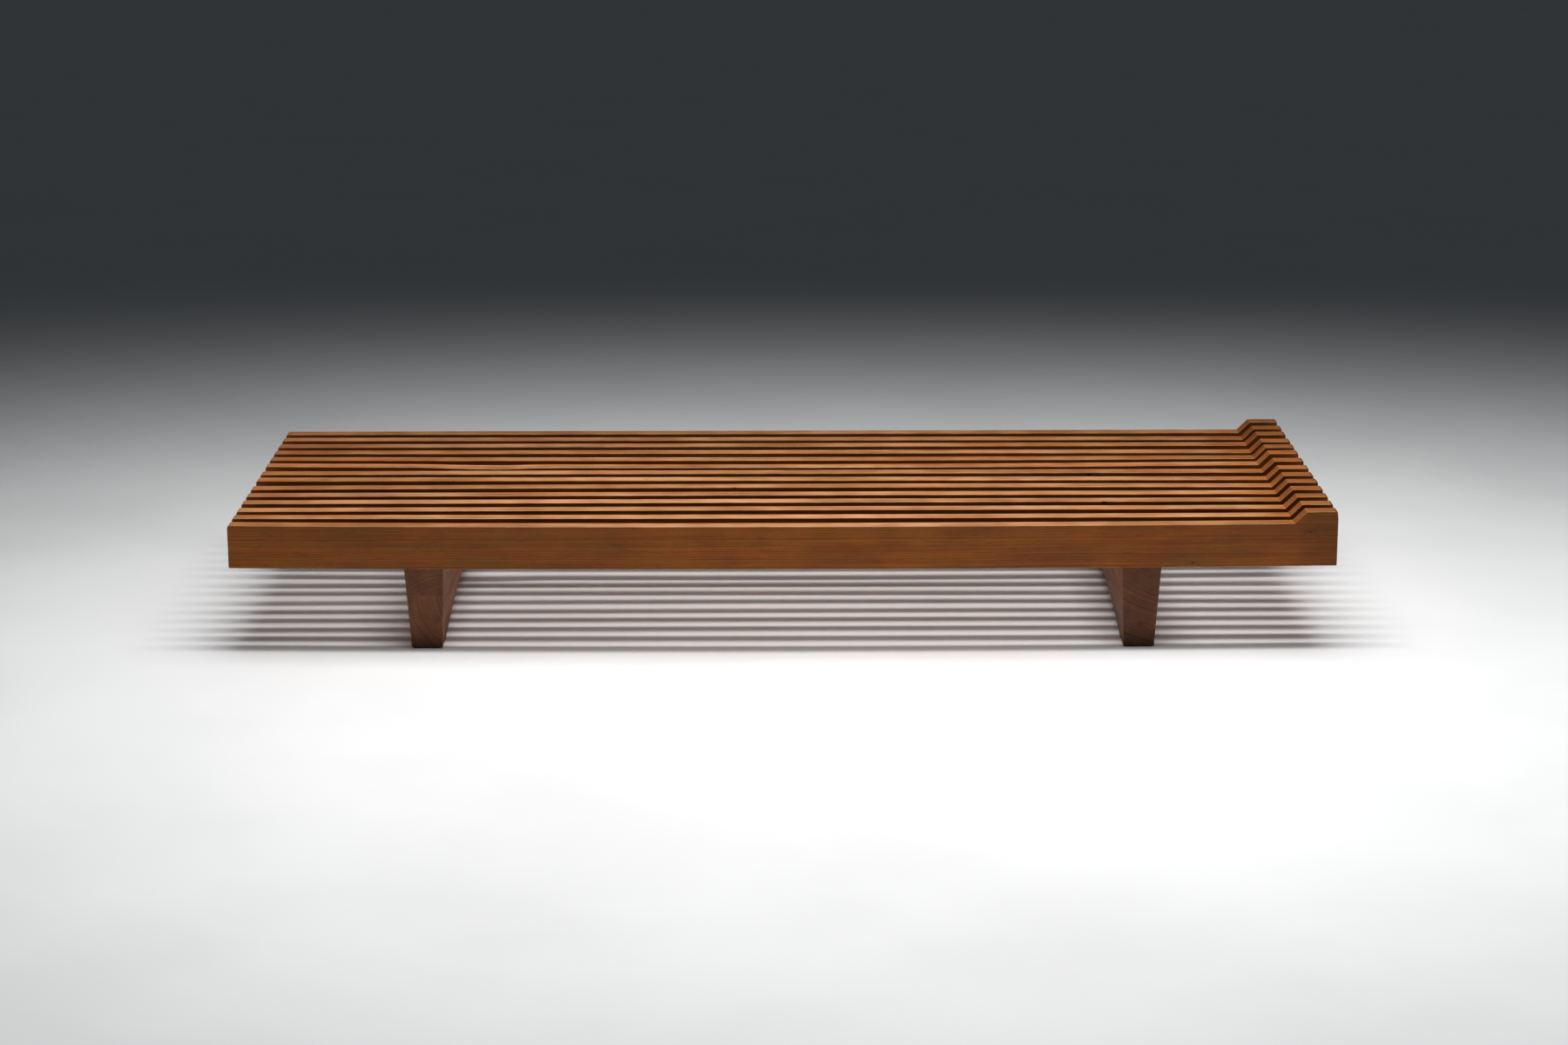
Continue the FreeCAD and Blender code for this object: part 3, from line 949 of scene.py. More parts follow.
class NodeBench:
    """Adds nodes to one shader tree and joins them."""

    def __init__(self, tree: bpy.types.ShaderNodeTree) -> None:
        """Work on one tree."""
        self.tree = tree

    def add(self, kind: str, inputs: dict[str | int, object] | None = None,
            **settings: object) -> bpy.types.Node:
        """Add one node.

        Args:
            kind: Type name of the node.
            inputs: A value or a socket for each named or numbered input.
            settings: Properties of the node.

        Returns:
            The node.
        """
        made = self.tree.nodes.new(kind)
        for name, value in settings.items():
            setattr(made, name, value)
        for key, value in (inputs or {}).items():
            if isinstance(value, bpy.types.NodeSocket):
                self.tree.links.new(value, made.inputs[key])
            else:
                made.inputs[key].default_value = value
        return made

    def maths(self, operation: str, a: object, b: object = 0.0) -> bpy.types.NodeSocket:
        """Return a sum, product or other result of two values."""
        return self.add("ShaderNodeMath", {0: a, 1: b}, operation=operation).outputs[0]

    def between(self, value: object, low: float, high: float,
                to_low: float = 0.0, to_high: float = 1.0) -> bpy.types.NodeSocket:
        """Return a value that eases from one level to another as the input crosses a range."""
        return self.add("ShaderNodeMapRange", {
            "Value": value, "From Min": low, "From Max": high,
            "To Min": to_low, "To Max": to_high},
            interpolation_type="SMOOTHSTEP").outputs["Result"]

    def mix(self, factor: object, a: object, b: object,
            blend: str = "MIX") -> bpy.types.NodeSocket:
        """Return a mix of two colours."""
        return self.add("ShaderNodeMix", {0: factor, 6: a, 7: b}, data_type="RGBA",
                        blend_type=blend).outputs[2]

    def stretch(self, vector: bpy.types.NodeSocket, x: float, y: float,
                z: float) -> bpy.types.NodeSocket:
        """Return a vector scaled by its own amount along each axis."""
        return self.add("ShaderNodeVectorMath", {0: vector, 1: (x, y, z)},
                        operation="MULTIPLY").outputs[0]

    def noise(self, vector: bpy.types.NodeSocket, detail: float = 3.0,
              roughness: float = 0.55) -> bpy.types.NodeSocket:
        """Return a cloudy value between 0 and 1 over an already scaled vector."""
        return self.add("ShaderNodeTexNoise", {
            "Vector": vector, "Scale": 1.0, "Detail": detail,
            "Roughness": roughness}).outputs["Fac"]


def shared_group(name: str, inputs: dict[str, str], outputs: dict[str, str],
                 fill: Callable[[NodeBench, bpy.types.Node, bpy.types.Node], None],
                 ) -> bpy.types.ShaderNodeTree:
    """Make a node group once, or return it if it is there.

    Args:
        name: Name of the group.
        inputs: Socket type of each named input.
        outputs: Socket type of each named output.
        fill: Draws the nodes between the group's input and output.

    Returns:
        The group's tree.
    """
    if name in bpy.data.node_groups:
        return bpy.data.node_groups[name]
    tree = bpy.data.node_groups.new(name, "ShaderNodeTree")
    for label, kind in inputs.items():
        tree.interface.new_socket(name=label, in_out="INPUT", socket_type=kind)
    for label, kind in outputs.items():
        tree.interface.new_socket(name=label, in_out="OUTPUT", socket_type=kind)
    bench = NodeBench(tree)
    fill(bench, bench.add("NodeGroupInput"), bench.add("NodeGroupOutput"))
    return tree


FLOAT = "NodeSocketFloat"
VECTOR = "NodeSocketVector"


def fill_figure(bench: NodeBench, given: bpy.types.Node, result: bpy.types.Node) -> None:
    """Draw the figure of wood inside its log.

    Rings: the distance from a wandering pith over the ring spacing, pushed out round knots,
    whose fraction is eased into a dark late-wood line. Streaks, fibre and pores: clouds
    drawn out along the grain. Mottle: a cloud as long as it is wide.

    Args:
        bench: Works on the group's tree.
        given: Group input with the place in the log, ring spacing, waviness and parting.
        result: Group output with the rings, streaks, fibre, pores and mottle.
    """
    place = given.outputs["Place"]
    wander = bench.add("ShaderNodeTexNoise", {
        "Vector": bench.stretch(place, 1.1, 7.0, 7.0), "Scale": 1.0, "Detail": 2.0}).outputs["Color"]
    centred = bench.add("ShaderNodeVectorMath", {0: wander, 1: (0.5, 0.5, 0.5)},
                        operation="SUBTRACT").outputs[0]
    pushed = bench.add("ShaderNodeVectorMath", {0: centred, "Scale": given.outputs["Waviness"]},
                       operation="SCALE").outputs[0]
    moved = bench.add("ShaderNodeVectorMath", {0: place, 1: pushed}, operation="ADD").outputs[0]
    spoke = bench.stretch(moved, 0.0, 1.0, 1.0)
    radius = bench.add("ShaderNodeVectorMath", {0: spoke}, operation="LENGTH").outputs["Value"]
    years = bench.maths("DIVIDE", radius, given.outputs["Spacing"])
    years = bench.maths("ADD", years, given.outputs["Parting"])
    seasons = bench.add("ShaderNodeTexNoise", {"W": bench.maths("MULTIPLY", years, 0.31),
                                               "Scale": 1.0, "Detail": 1.0},
                        noise_dimensions="1D").outputs["Fac"]
    years = bench.maths("ADD", years, bench.maths("MULTIPLY", seasons, 2.6))
    growth = bench.maths("FRACT", years)
    late = bench.between(growth, 0.25, 0.86)
    stop = bench.between(growth, 0.88, 1.0, 1.0, 0.0)
    rings = bench.maths("MULTIPLY", late, stop)
    streaks = bench.noise(bench.stretch(moved, 1.5, 95.0, 95.0), 4.0, 0.62)
    fibre = bench.noise(bench.stretch(moved, 11.0, 900.0, 900.0), 2.0, 0.6)
    holes = bench.noise(bench.stretch(moved, 44.0, 980.0, 980.0), 1.0, 0.5)
    pores = bench.between(holes, 0.60, 0.72)
    mottle = bench.noise(bench.stretch(moved, 13.0, 19.0, 19.0), 2.0, 0.5)
    for name, value in (("Rings", rings), ("Streaks", streaks), ("Fibre", fibre),
                        ("Pores", pores), ("Mottle", mottle)):
        bench.tree.links.new(value, result.inputs[name])


def wood_figure() -> bpy.types.ShaderNodeTree:
    """Return the shared group that draws rings, streaks, fibre, pores and mottle."""
    return shared_group(
        "wood-figure",
        {"Place": VECTOR, "Spacing": FLOAT, "Waviness": FLOAT, "Parting": FLOAT},
        {"Rings": FLOAT, "Streaks": FLOAT, "Fibre": FLOAT, "Pores": FLOAT, "Mottle": FLOAT},
        fill_figure)


def fill_knot(bench: NodeBench, given: bpy.types.Node, result: bpy.types.Node) -> None:
    """Draw one small knot: a dark core and the halo in which the rings part round it.

    Formula: the distance from the knot, halved along the bench, over the knot's radius.
    """
    apart = bench.add("ShaderNodeVectorMath", {0: given.outputs["Spot"],
                                               1: given.outputs["Centre"]},
                      operation="SUBTRACT").outputs[0]
    drawn = bench.stretch(apart, 0.5, 1.0, 1.0)
    length = bench.add("ShaderNodeVectorMath", {0: drawn}, operation="LENGTH").outputs["Value"]
    distance = bench.maths("DIVIDE", length, given.outputs["Radius"])
    bench.tree.links.new(bench.between(distance, 0.55, 1.15, 1.0, 0.0), result.inputs["Core"])
    bench.tree.links.new(bench.between(distance, 0.9, 5.0, 1.0, 0.0), result.inputs["Halo"])


def small_knot() -> bpy.types.ShaderNodeTree:
    """Return the shared group that draws one small knot."""
    return shared_group("small-knot", {"Spot": VECTOR, "Centre": VECTOR, "Radius": FLOAT},
                        {"Core": FLOAT, "Halo": FLOAT}, fill_knot)


def fill_handling(bench: NodeBench, given: bpy.types.Node, result: bpy.types.Node) -> None:
    """Draw what years of use leave on oiled wood.

    Wear: the arris mask broken up by a cloud. Patina: a broad cloud over the faces.
    """
    place = given.outputs["Place"]
    broken = bench.between(bench.noise(bench.stretch(place, 26.0, 60.0, 60.0), 3.0), 0.32, 0.68)
    rubbed = bench.maths("MULTIPLY", given.outputs["Arris"],
                         bench.maths("ADD", bench.maths("MULTIPLY", broken, 0.6), 0.4))
    patina = bench.between(bench.noise(bench.stretch(place, 2.1, 16.0, 16.0), 4.0, 0.6), 0.3, 0.72)
    bench.tree.links.new(rubbed, result.inputs["Wear"])
    bench.tree.links.new(patina, result.inputs["Patina"])


def handling() -> bpy.types.ShaderNodeTree:
    """Return the shared group that draws edge wear and patina."""
    return shared_group("handled-wood", {"Place": VECTOR, "Arris": FLOAT},
                        {"Wear": FLOAT, "Patina": FLOAT}, fill_handling)


@dataclass(frozen=True)
class Knot:
    """A small knot, by its place on the bench, its radius in millimetres and its darkness."""

    place: tuple[float, float, float]
    radius: float
    darkness: float = 1.0


@dataclass(frozen=True)
class OiledWood:
    """Finish of oiled solid wood, seen on its long faces and its end grain."""

    name: str
    pale: tuple[float, float, float, float]
    golden: tuple[float, float, float, float]
    deep: tuple[float, float, float, float]
    streak: tuple[float, float, float, float]
    blush: tuple[float, float, float, float]
    worn: tuple[float, float, float, float]
    # Paler, greyer tint of the tops: painted sheen, with real fading in the sun.
    sheen_fade_tint: tuple[float, float, float, float]
    ring_spacing: float
    waviness: float
    ring_strength: float
    streak_strength: float
    pore_strength: float
    end_darkening: float
    sheen_low: float
    sheen_high: float
    relief: float
    reflection: float = 0.3
    knots: tuple[Knot, ...] = ()
    knot_tint: tuple[float, float, float, float] = from_screen(44, 24, 14)
    from_attributes: bool = True
    floor_darkening_height: float = 0.0

    def material(self) -> bpy.types.Material:
        """Build the finish as a node material.

        Returns:
            The material.
        """
        made = bpy.data.materials.new(self.name)
        made.use_nodes = True
        made.node_tree.nodes.clear()
        bench = NodeBench(made.node_tree)
        place, arris, end, top_sheen_fade, tone, blush = self.readings(bench)
        figure = bench.add("ShaderNodeGroup", {}, node_tree=wood_figure())
        bench.tree.links.new(place, figure.inputs["Place"])
        figure.inputs["Spacing"].default_value = self.ring_spacing
        figure.inputs["Waviness"].default_value = self.waviness
        core, halo = self.knot_masks(bench)
        if self.knots:
            bench.tree.links.new(bench.maths("MULTIPLY", halo, 1.6), figure.inputs["Parting"])
        used = bench.add("ShaderNodeGroup", {}, node_tree=handling())
        bench.tree.links.new(place, used.inputs["Place"])
        if isinstance(arris, bpy.types.NodeSocket):
            bench.tree.links.new(arris, used.inputs["Arris"])
        rings, streaks = figure.outputs["Rings"], figure.outputs["Streaks"]
        fibre, pores = figure.outputs["Fibre"], figure.outputs["Pores"]

        warmth = bench.noise(bench.stretch(place, 8.0, 40.0, 40.0), 3.0, 0.6)
        ground = bench.mix(bench.between(warmth, 0.38, 0.62), self.pale, self.golden)
        ringed = bench.maths("MULTIPLY", rings, self.ring_strength)
        colour = bench.mix(ringed, ground, self.deep)
        streaked = bench.maths("MULTIPLY", bench.between(streaks, 0.42, 0.74),
                               self.streak_strength)
        colour = bench.mix(streaked, colour, self.streak)
        # Painted sheen on the tops, with real fading in the sun: faces that look up are mixed
        # towards the paler tint.
        sheen_fade_cloud = bench.maths("ADD", bench.between(used.outputs["Patina"], 0.0, 1.0, 0.32, 0.56),
                            bench.between(figure.outputs["Mottle"], 0.32, 0.68, 0.0, 0.22))
        sheen_fade_amount = bench.maths("MULTIPLY", top_sheen_fade, sheen_fade_cloud)
        colour = bench.mix(sheen_fade_amount, colour, self.sheen_fade_tint)
        flushed = bench.noise(bench.stretch(place, 3.6, 22.0, 22.0), 4.0, 0.65)
        flush = bench.maths("MULTIPLY", bench.between(flushed, 0.46, 0.66), blush)
        colour = bench.mix(bench.maths("MULTIPLY", flush, 0.5), colour, self.blush)
        grainy = bench.between(fibre, 0.2, 0.8, 0.86, 1.12)
        shade = bench.maths("MULTIPLY", grainy, bench.maths(
            "SUBTRACT", 1.0, bench.maths("MULTIPLY", pores, self.pore_strength)))
        mottled = bench.maths("MULTIPLY", shade,
                              bench.between(used.outputs["Patina"], 0.0, 1.0, 0.90, 1.08))
        mottled = bench.maths("MULTIPLY", mottled,
                              bench.between(figure.outputs["Mottle"], 0.3, 0.7, 0.91, 1.09))
        toned = bench.maths("MULTIPLY", mottled, bench.maths(
            "ADD", 1.0, bench.maths("MULTIPLY", tone, 0.11)))
        ends = bench.maths("SUBTRACT", 1.0, bench.maths("MULTIPLY", end, self.end_darkening))
        level = bench.maths("MULTIPLY", toned, ends)
        # Darker towards the floor, up to the given height.
        if self.floor_darkening_height:
            level = bench.maths("MULTIPLY", level, self.floor_darkening(bench))
        colour = bench.mix(1.0, colour, self.grey(bench, level), "MULTIPLY")
        colour = bench.mix(bench.maths("MULTIPLY", used.outputs["Wear"], 0.35), colour, self.worn)
        if self.knots:
            ringed_core = bench.maths("MAXIMUM", core, bench.maths("MULTIPLY", halo, 0.15))
            colour = bench.mix(ringed_core, colour, self.knot_tint)

        sheen = bench.between(used.outputs["Patina"], 0.0, 1.0, self.sheen_low, self.sheen_high)
        rough = bench.maths("ADD", sheen, bench.maths("MULTIPLY", pores, 0.12))
        rough = bench.maths("ADD", rough, bench.maths("MULTIPLY", end, 0.16))
        height = bench.maths("ADD", bench.maths("MULTIPLY", fibre, 0.55),
                             bench.maths("MULTIPLY", rings, 0.35))
        height = bench.maths("SUBTRACT", height, bench.maths("MULTIPLY", pores, 0.8))
        bump = bench.add("ShaderNodeBump", {"Strength": self.relief, "Distance": 0.4 * MM,
                                            "Height": height})
        shader = bench.add("ShaderNodeBsdfPrincipled", {
            "Base Color": colour, "Roughness": rough, "Specular IOR Level": self.reflection,
            "Normal": bump.outputs["Normal"]})
        out = bench.add("ShaderNodeOutputMaterial")
        bench.tree.links.new(shader.outputs[0], out.inputs["Surface"])
        return made

    def knot_masks(self, bench: NodeBench) -> tuple[object, object]:
        """Return the greatest core and halo of all the finish's knots at each point.

        Args:
            bench: Works on the material's tree.

        Returns:
            The core mask and the halo mask, both zero for a finish without knots.
        """
        core: object = 0.0
        halo: object = 0.0
        if not self.knots:
            return core, halo
        spot = bench.add("ShaderNodeTexCoord").outputs["Object"]
        for knot in self.knots:
            one = bench.add("ShaderNodeGroup", {}, node_tree=small_knot())
            bench.tree.links.new(spot, one.inputs["Spot"])
            one.inputs["Centre"].default_value = knot.place
            one.inputs["Radius"].default_value = knot.radius * MM
            dark = bench.maths("MULTIPLY", one.outputs["Core"], knot.darkness)
            core = bench.maths("MAXIMUM", dark, core)
            halo = bench.maths("MAXIMUM", one.outputs["Halo"], halo)
        return core, halo

    def readings(self, bench: NodeBench) -> tuple[object, ...]:
        """Return the place in the log and the masks that the finish works from."""
        if not self.from_attributes:
            spot = bench.add("ShaderNodeTexCoord").outputs["Object"]
            return spot, 0.0, 0.0, 0.0, 0.0, 0.0
        place = bench.add("ShaderNodeAttribute", attribute_name="log_place").outputs["Vector"]
        values = [bench.add("ShaderNodeAttribute", attribute_name=name).outputs["Fac"]
                  for name in ("worn", "end_grain", "top_sheen_fade", "tone", "blush")]
        return (place, *values)

    def grey(self, bench: NodeBench, level: bpy.types.NodeSocket) -> bpy.types.NodeSocket:
        """Return a level of light as a colour."""
        return bench.add("ShaderNodeCombineColor",
                         {"Red": level, "Green": level, "Blue": level}).outputs[0]

    def floor_darkening(self, bench: NodeBench) -> bpy.types.NodeSocket:
        """Return how the wood darkens towards the floor, uneven along its upper limit."""
        spot = bench.add("ShaderNodeTexCoord").outputs["Object"]
        height = bench.add("ShaderNodeSeparateXYZ", {0: spot}).outputs["Z"]
        ragged = bench.noise(bench.stretch(spot, 45.0, 45.0, 20.0), 3.0)
        moved = bench.maths("ADD", height, bench.maths("MULTIPLY", ragged, -0.02))
        return bench.between(moved, -0.01, self.floor_darkening_height, 0.50, 1.0)


@dataclass(frozen=True)
class PressedFelt:
    """Finish of dark pressed felt."""

    name: str = "pressed-felt"
    dark: tuple[float, float, float, float] = from_screen(26, 24, 22)
    pale: tuple[float, float, float, float] = from_screen(58, 54, 50)
    fibre_scale: float = 900.0
    clump_scale: float = 160.0

    def material(self) -> bpy.types.Material:
        """Build the finish: matted fibres, paler clumps, no gloss but a soft sheen."""
        made = bpy.data.materials.new(self.name)
        made.use_nodes = True
        made.node_tree.nodes.clear()
        bench = NodeBench(made.node_tree)
        spot = bench.add("ShaderNodeTexCoord").outputs["Object"]
        fibre = bench.noise(bench.stretch(spot, *(self.fibre_scale,) * 3), 4.0, 0.7)
        clump = bench.noise(bench.stretch(spot, *(self.clump_scale,) * 3), 3.0, 0.6)
        mixed = bench.maths("MULTIPLY", bench.between(fibre, 0.35, 0.7),
                            bench.between(clump, 0.3, 0.7, 0.4, 1.0))
        bump = bench.add("ShaderNodeBump", {"Strength": 0.7, "Distance": 0.3 * MM,
                                            "Height": fibre})
        shader = bench.add("ShaderNodeBsdfPrincipled", {
            "Base Color": bench.mix(mixed, self.dark, self.pale),
            "Roughness": bench.between(fibre, 0.3, 0.7, 0.86, 1.0),
            "Sheen Weight": 0.35, "Normal": bump.outputs["Normal"]})
        out = bench.add("ShaderNodeOutputMaterial")
        bench.tree.links.new(shader.outputs[0], out.inputs["Surface"])
        return made


SLAT_WOOD = OiledWood(
    name="slat-wood", pale=from_screen(160, 92, 34), golden=from_screen(158, 99, 34),
    deep=from_screen(126, 68, 22), streak=from_screen(108, 56, 20),
    blush=from_screen(178, 98, 56), worn=from_screen(200, 144, 86),
    sheen_fade_tint=from_screen(184, 143, 107), ring_spacing=5.2 * MM, waviness=0.016,
    ring_strength=0.46, streak_strength=0.42, pore_strength=0.28, end_darkening=0.50,
    sheen_low=0.36, sheen_high=0.48, relief=0.30,
    knots=(Knot((0.951, -0.390, 0.212), 2.0, 0.6), Knot((0.738, -0.396, 0.157), 1.8, 0.7),
           Knot((0.5945, -0.2161, 0.2258), 3.2), Knot((0.5877, 0.0201, 0.2237), 2.8),
           Knot((-0.0904, -0.0965, 0.2272), 1.6, 0.8)))

BEAM_WOOD = OiledWood(
    name="beam-wood", pale=from_screen(136, 92, 68), golden=from_screen(138, 98, 68),
    deep=from_screen(94, 58, 42), streak=from_screen(102, 60, 42),
    blush=from_screen(142, 94, 56), worn=from_screen(158, 118, 92),
    sheen_fade_tint=from_screen(136, 104, 84), ring_spacing=3.2 * MM, waviness=0.010,
    # The long-grain sides stay lighter than the end-grain front and back: part real end grain, part
    # painted bounce light on the sides.
    ring_strength=0.72, streak_strength=0.32, pore_strength=0.26, end_darkening=0.32,
    # The beams grow darker towards the floor, up to about 40 mm above it.
    sheen_low=0.46, sheen_high=0.62, relief=0.28, floor_darkening_height=0.040,
    knots=(Knot((0.647, -0.395, 0.0434), 3.5),), knot_tint=from_screen(104, 58, 36))

TENON_WOOD = OiledWood(
    name="tenon-wood", pale=from_screen(214, 184, 142), golden=from_screen(216, 188, 144),
    deep=from_screen(186, 148, 104), streak=from_screen(190, 154, 112),
    blush=from_screen(200, 160, 120), worn=from_screen(222, 196, 160),
    sheen_fade_tint=from_screen(220, 196, 160), ring_spacing=4.0 * MM, waviness=0.006,
    ring_strength=0.45, streak_strength=0.30, pore_strength=0.25, end_darkening=0.25,
    sheen_low=0.62, sheen_high=0.74, relief=0.25, from_attributes=False)


@dataclass
class Deck:
    """The fourteen slats, each with its own stray and its own cut from a log."""

    strays: tuple[Stray, ...] = (
        Stray(), Stray(0.05, 0, -0.14), Stray(0.03), Stray(0.08, 0, -0.20),
        Stray(0.17, -0.34, 0.10), Stray(0.31, -0.62, 0.31), Stray(-0.03, 0, 0.03),
        Stray(0.17, 0, -0.10), Stray(-0.20, 0.24, -0.10), Stray(-0.14, 0, 0.04),
        Stray(-0.07, 0, 0.07), Stray(-0.10, 0, 0.08), Stray(0.07, -0.22, 0.10),
        Stray(0.24, -0.58, 0.24))
    tones: tuple[float, ...] = (-2.2, -1.3, -0.9, -0.4, -0.9, 0.6, -0.5, 0.9, 0.1, 0.0, 0.5,
                                0.5, 0.6, 0.1)
    tone_scatter: float = 0.1
    blushes: tuple[float, ...] = (0.3, 0.6, 0.8, 0.7, 0.8, 0.9, 0.9, 0.4, 0.5, 0.5, 0.2, 0.4,
                                  0.2, 0.1)
    crooked: int = 6
    log_seed: int = 41

    def slats(self) -> list[Slat]:
        """Return the slats, back slat first, with seeded places in their logs."""
        rng = np.random.default_rng(self.log_seed)
        made = []
        for number, stray in enumerate(self.strays, start=1):
            angle = rng.uniform(-1.2, 1.2)
            distance = rng.uniform(0.07, 0.16)
            cut = LogCut(along=float(number * 5.3 + rng.uniform(0, 2)),
                         across=float(distance * math.sin(angle)),
                         up=float(-distance * math.cos(angle)),
                         roll_degrees=float(rng.uniform(-18, 18)),
                         tone=self.tones[number - 1]
                         + self.tone_scatter * float(rng.uniform(-1, 1)),
                         blush=self.blushes[number - 1])
            crook = Crook() if number == self.crooked else None
            made.append(Slat(node=f"slat_{number:02d}", cut=cut, seed=100 + number,
                             slot_name="slat_wood", number=number, stray=stray, crook=crook))
        return made


@dataclass
class Beams:
    """The three boards of the two beams."""

    def boards(self, slats: list[Slat]) -> list[BeamBoard]:
        """Return the boards, each with the mortises that the slats call for.

        Args:
            slats: The slats that cross the beams.

        Returns:
            The upper and lower left board and the right beam.
        """
        cuts = {
            "left_beam_upper": (Side.LEFT, Layer.UPPER, LogCut(3.1, -0.055, 0.150, tone=4.7)),
            "left_beam_lower": (Side.LEFT, Layer.LOWER,
                                LogCut(7.4, -0.100, -0.050, tone=5.1, blush=0.7)),
            "right_beam": (Side.RIGHT, Layer.WHOLE,
                           LogCut(12.9, -0.109, -0.263, tone=2.7, blush=0.25)),
        }
        return [BeamBoard(node=name, cut=cut, seed=300 + n, slot_name="beam_wood",
                          arris=0.8 * MM, side=side, layer=layer, slats=slats)
                for n, (name, (side, layer, cut)) in enumerate(cuts.items())]


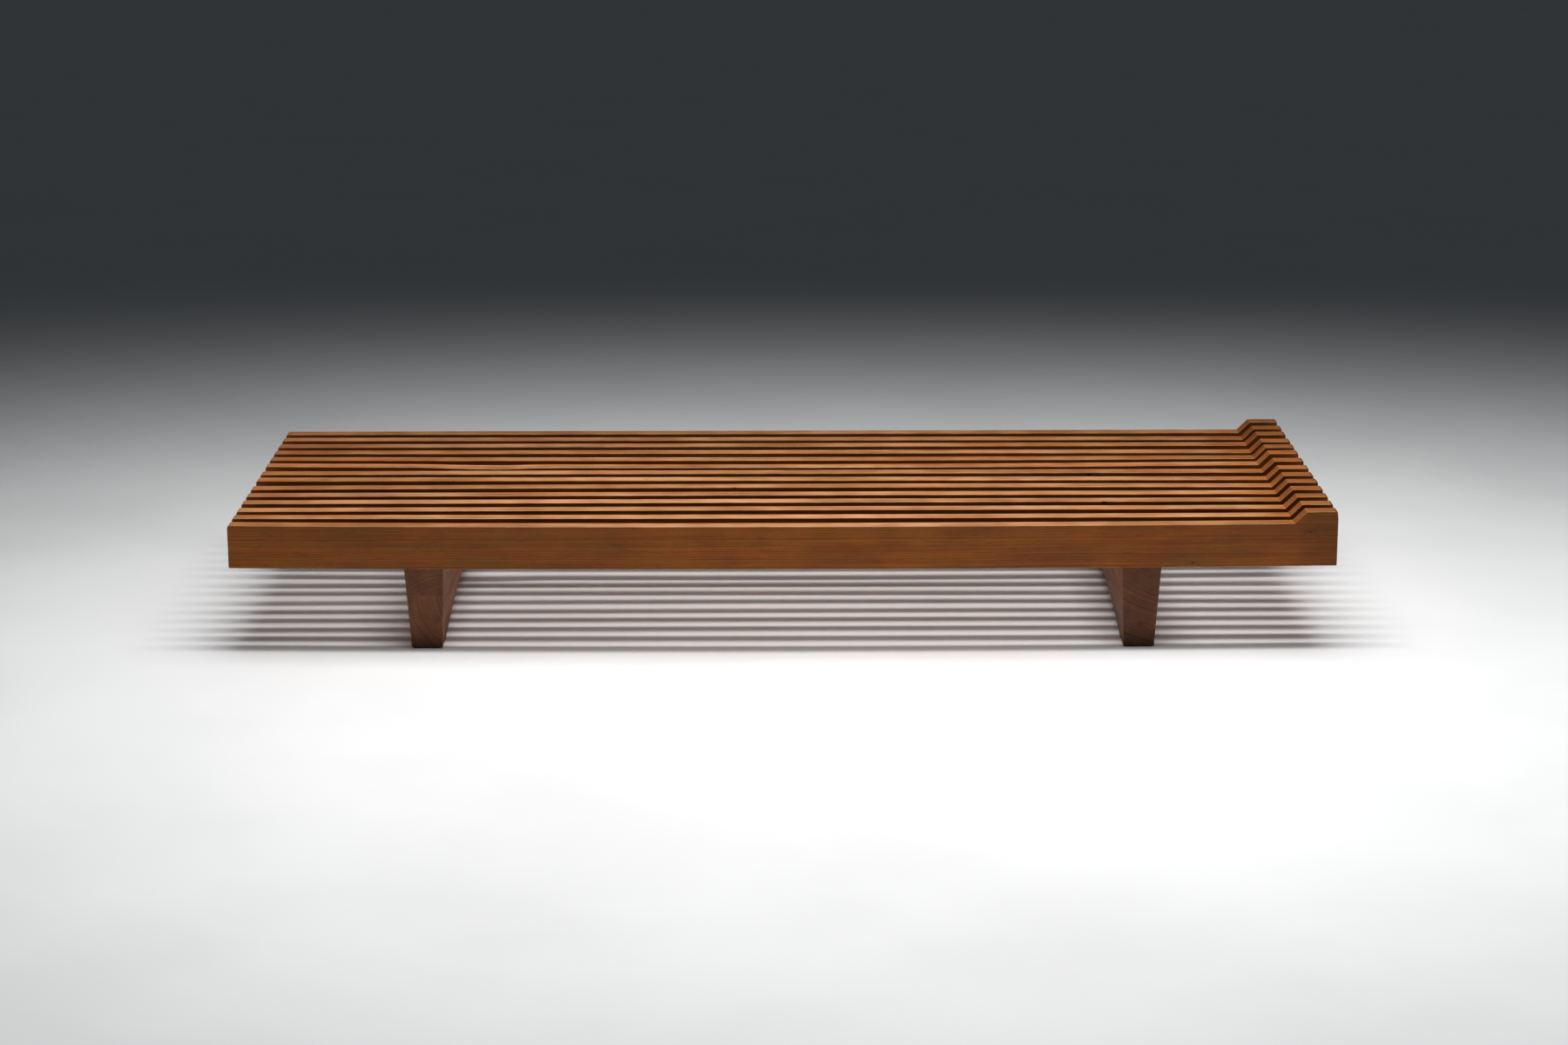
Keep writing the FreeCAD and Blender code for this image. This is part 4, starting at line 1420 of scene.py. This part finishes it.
@dataclass(frozen=True)
class Studio:
    """Plain pale floor, soft light and the camera."""

    floor_half: float = 40.0
    floor_tint: tuple[float, float, float, float] = (0.79, 0.79, 0.79, 1.0)
    sky: float = 0.052
    camera_place: tuple[float, float, float] = (-0.0112, -6.3048, 1.6947)
    pitch_degrees: float = 13.888
    yaw_degrees: float = 0.130
    roll_degrees: float = -0.106
    lens: float = 77.792
    sensor: float = 36.0

    def floor(self) -> bpy.types.Object:
        """Make the floor, a flat grid far larger than the view."""
        side = np.linspace(-self.floor_half, self.floor_half, 5)
        x, y = np.meshgrid(side, side, indexing="ij")
        points = np.stack([x, y, np.zeros_like(x)], axis=-1).reshape(-1, 3)
        index = np.arange(25).reshape(5, 5)
        faces = np.stack([index[:-1, :-1], index[1:, :-1], index[1:, 1:], index[:-1, 1:]],
                         axis=-1).reshape(-1, 4)
        made = new_surface("floor", points, faces)
        material = bpy.data.materials.new("pale-floor")
        material.use_nodes = True
        material.node_tree.nodes.clear()
        bench = NodeBench(material.node_tree)
        spot = bench.add("ShaderNodeTexCoord").outputs["Object"]
        cloud = bench.noise(bench.stretch(spot, 1.7, 1.7, 1.7), 4.0)
        shader = bench.add("ShaderNodeBsdfPrincipled", {
            "Base Color": self.floor_tint,
            "Roughness": bench.between(cloud, 0.3, 0.7, 0.42, 0.56)})
        out = bench.add("ShaderNodeOutputMaterial")
        bench.tree.links.new(shader.outputs[0], out.inputs["Surface"])
        made.data.materials.append(material)
        return made

    def soft_light(self, name: str, place: tuple[float, float, float],
                   aim: tuple[float, float, float], size: tuple[float, float],
                   power: float, spread_degrees: float = 180.0) -> bpy.types.Object:
        """Hang one rectangular soft light.

        Args:
            name: Name of the light.
            place: Its middle.
            aim: Point that it faces.
            size: Its width along the bench and its depth.
            power: Power in watts.
            spread_degrees: How wide it shines.

        Returns:
            The light's object.
        """
        lamp = bpy.data.lights.new(name, "AREA")
        lamp.shape = "RECTANGLE"
        lamp.size, lamp.size_y = size
        lamp.energy = power
        lamp.spread = math.radians(spread_degrees)
        made = bpy.data.objects.new(name, lamp)
        back = np.array(place) - np.array(aim)
        back /= np.linalg.norm(back)
        right = np.array([1.0, 0.0, 0.0])
        up = np.cross(back, right)
        up /= np.linalg.norm(up)
        right = np.cross(up, back)
        made.matrix_world = placed(right, up, back, place)
        bpy.context.scene.collection.objects.link(made)
        return made

    def light(self) -> None:
        """Hang the lights and set the sky."""
        world = bpy.data.worlds.new("soft-sky")
        bpy.context.scene.world = world
        world.use_nodes = True
        sky = world.node_tree.nodes["Background"]
        sky.inputs["Color"].default_value = (self.sky * 0.92, self.sky, self.sky * 1.08, 1.0)
        self.soft_light("softbox-core", (0.34, -0.15, 3.35), (0.28, -0.96, 0.0),
                        (3.2, 0.30), 34.5, 120.0)
        self.soft_light("softbox-rim", (0.30, -0.15, 3.36), (0.22, -1.25, 0.0),
                        (3.8, 2.8), 51.5, 120.0)

    def camera(self) -> bpy.types.Object:
        """Set the camera where the picture was taken from.

        Formula: looking along +Y, turned right by the yaw, down by the pitch, then rolled.
        """
        yaw, pitch, roll = (math.radians(a) for a in
                            (self.yaw_degrees, self.pitch_degrees, self.roll_degrees))
        ahead = np.array([math.sin(yaw) * math.cos(pitch), math.cos(yaw) * math.cos(pitch),
                          -math.sin(pitch)])
        level = np.array([math.cos(yaw), -math.sin(yaw), 0.0])
        upright = np.cross(level, ahead)
        right = math.cos(roll) * level + math.sin(roll) * upright
        up = -math.sin(roll) * level + math.cos(roll) * upright
        data = bpy.data.cameras.new("picture-camera")
        data.lens, data.sensor_width = self.lens, self.sensor
        data.clip_end = 200.0
        made = bpy.data.objects.new("picture-camera", data)
        made.matrix_world = placed(right, up, -ahead, self.camera_place)
        bpy.context.scene.collection.objects.link(made)
        bpy.context.scene.camera = made
        return made


def placed(right: np.ndarray, up: np.ndarray, back: np.ndarray,
           place: Sequence[float]) -> Matrix:
    """Return the matrix of an object with the given axes at the given place."""
    matrix = np.eye(4)
    matrix[:3, 0], matrix[:3, 1], matrix[:3, 2], matrix[:3, 3] = right, up, back, place
    return Matrix(matrix.tolist())


def compare_with_node(made: bpy.types.Object, node: str) -> float:
    """Return how far a piece's box departs from its node's, at most, in millimetres."""
    low, high = (np.array(corner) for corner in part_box(node))
    points = np.empty(len(made.data.vertices) * 3)
    made.data.vertices.foreach_get("co", points)
    points = points.reshape(-1, 3)
    return float(np.abs(np.concatenate([points.min(0) - low, points.max(0) - high])).max() / MM)


def main() -> None:
    """Build the pieces in order, dress them, and set the floor, the light and the camera."""
    logging.basicConfig(level=logging.INFO, format="%(message)s")
    bpy.context.scene.view_settings.view_transform = "Standard"
    bpy.context.scene.view_settings.look = "Medium High Contrast"
    slat_finish, beam_finish = SLAT_WOOD.material(), BEAM_WOOD.material()
    tenon_finish, felt_finish = TENON_WOOD.material(), PressedFelt().material()

    slats = Deck().slats()
    pieces: list[tuple[Board | FeltPad, bpy.types.Material]] = [
        (slat, slat_finish) for slat in slats]
    pieces += [(board, beam_finish) for board in Beams().boards(slats)]
    pieces += [(FeltPad(f"{side}_{end}_pad", seed), felt_finish)
               for seed, (side, end) in enumerate(
                   (s, e) for s in ("left", "right") for e in ("front", "back"))]
    for piece, finish in pieces:
        made = piece.build()
        off = compare_with_node(made, piece.node)
        piece.dress(made, finish)
        LOG.info("%s: %d faces, box within %.2f mm of its node", made.name,
                 len(made.data.polygons), off)
    for side in ("left", "right"):
        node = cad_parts[f"{side}_beam_tenons"]
        node.data.materials.clear()
        node.data.materials.append(tenon_finish)
        LOG.info("%s: dressed", node.name)

    studio = Studio()
    studio.floor()
    studio.light()
    studio.camera()
    bpy.context.view_layer.update()


if __name__ == "__main__":
    main()
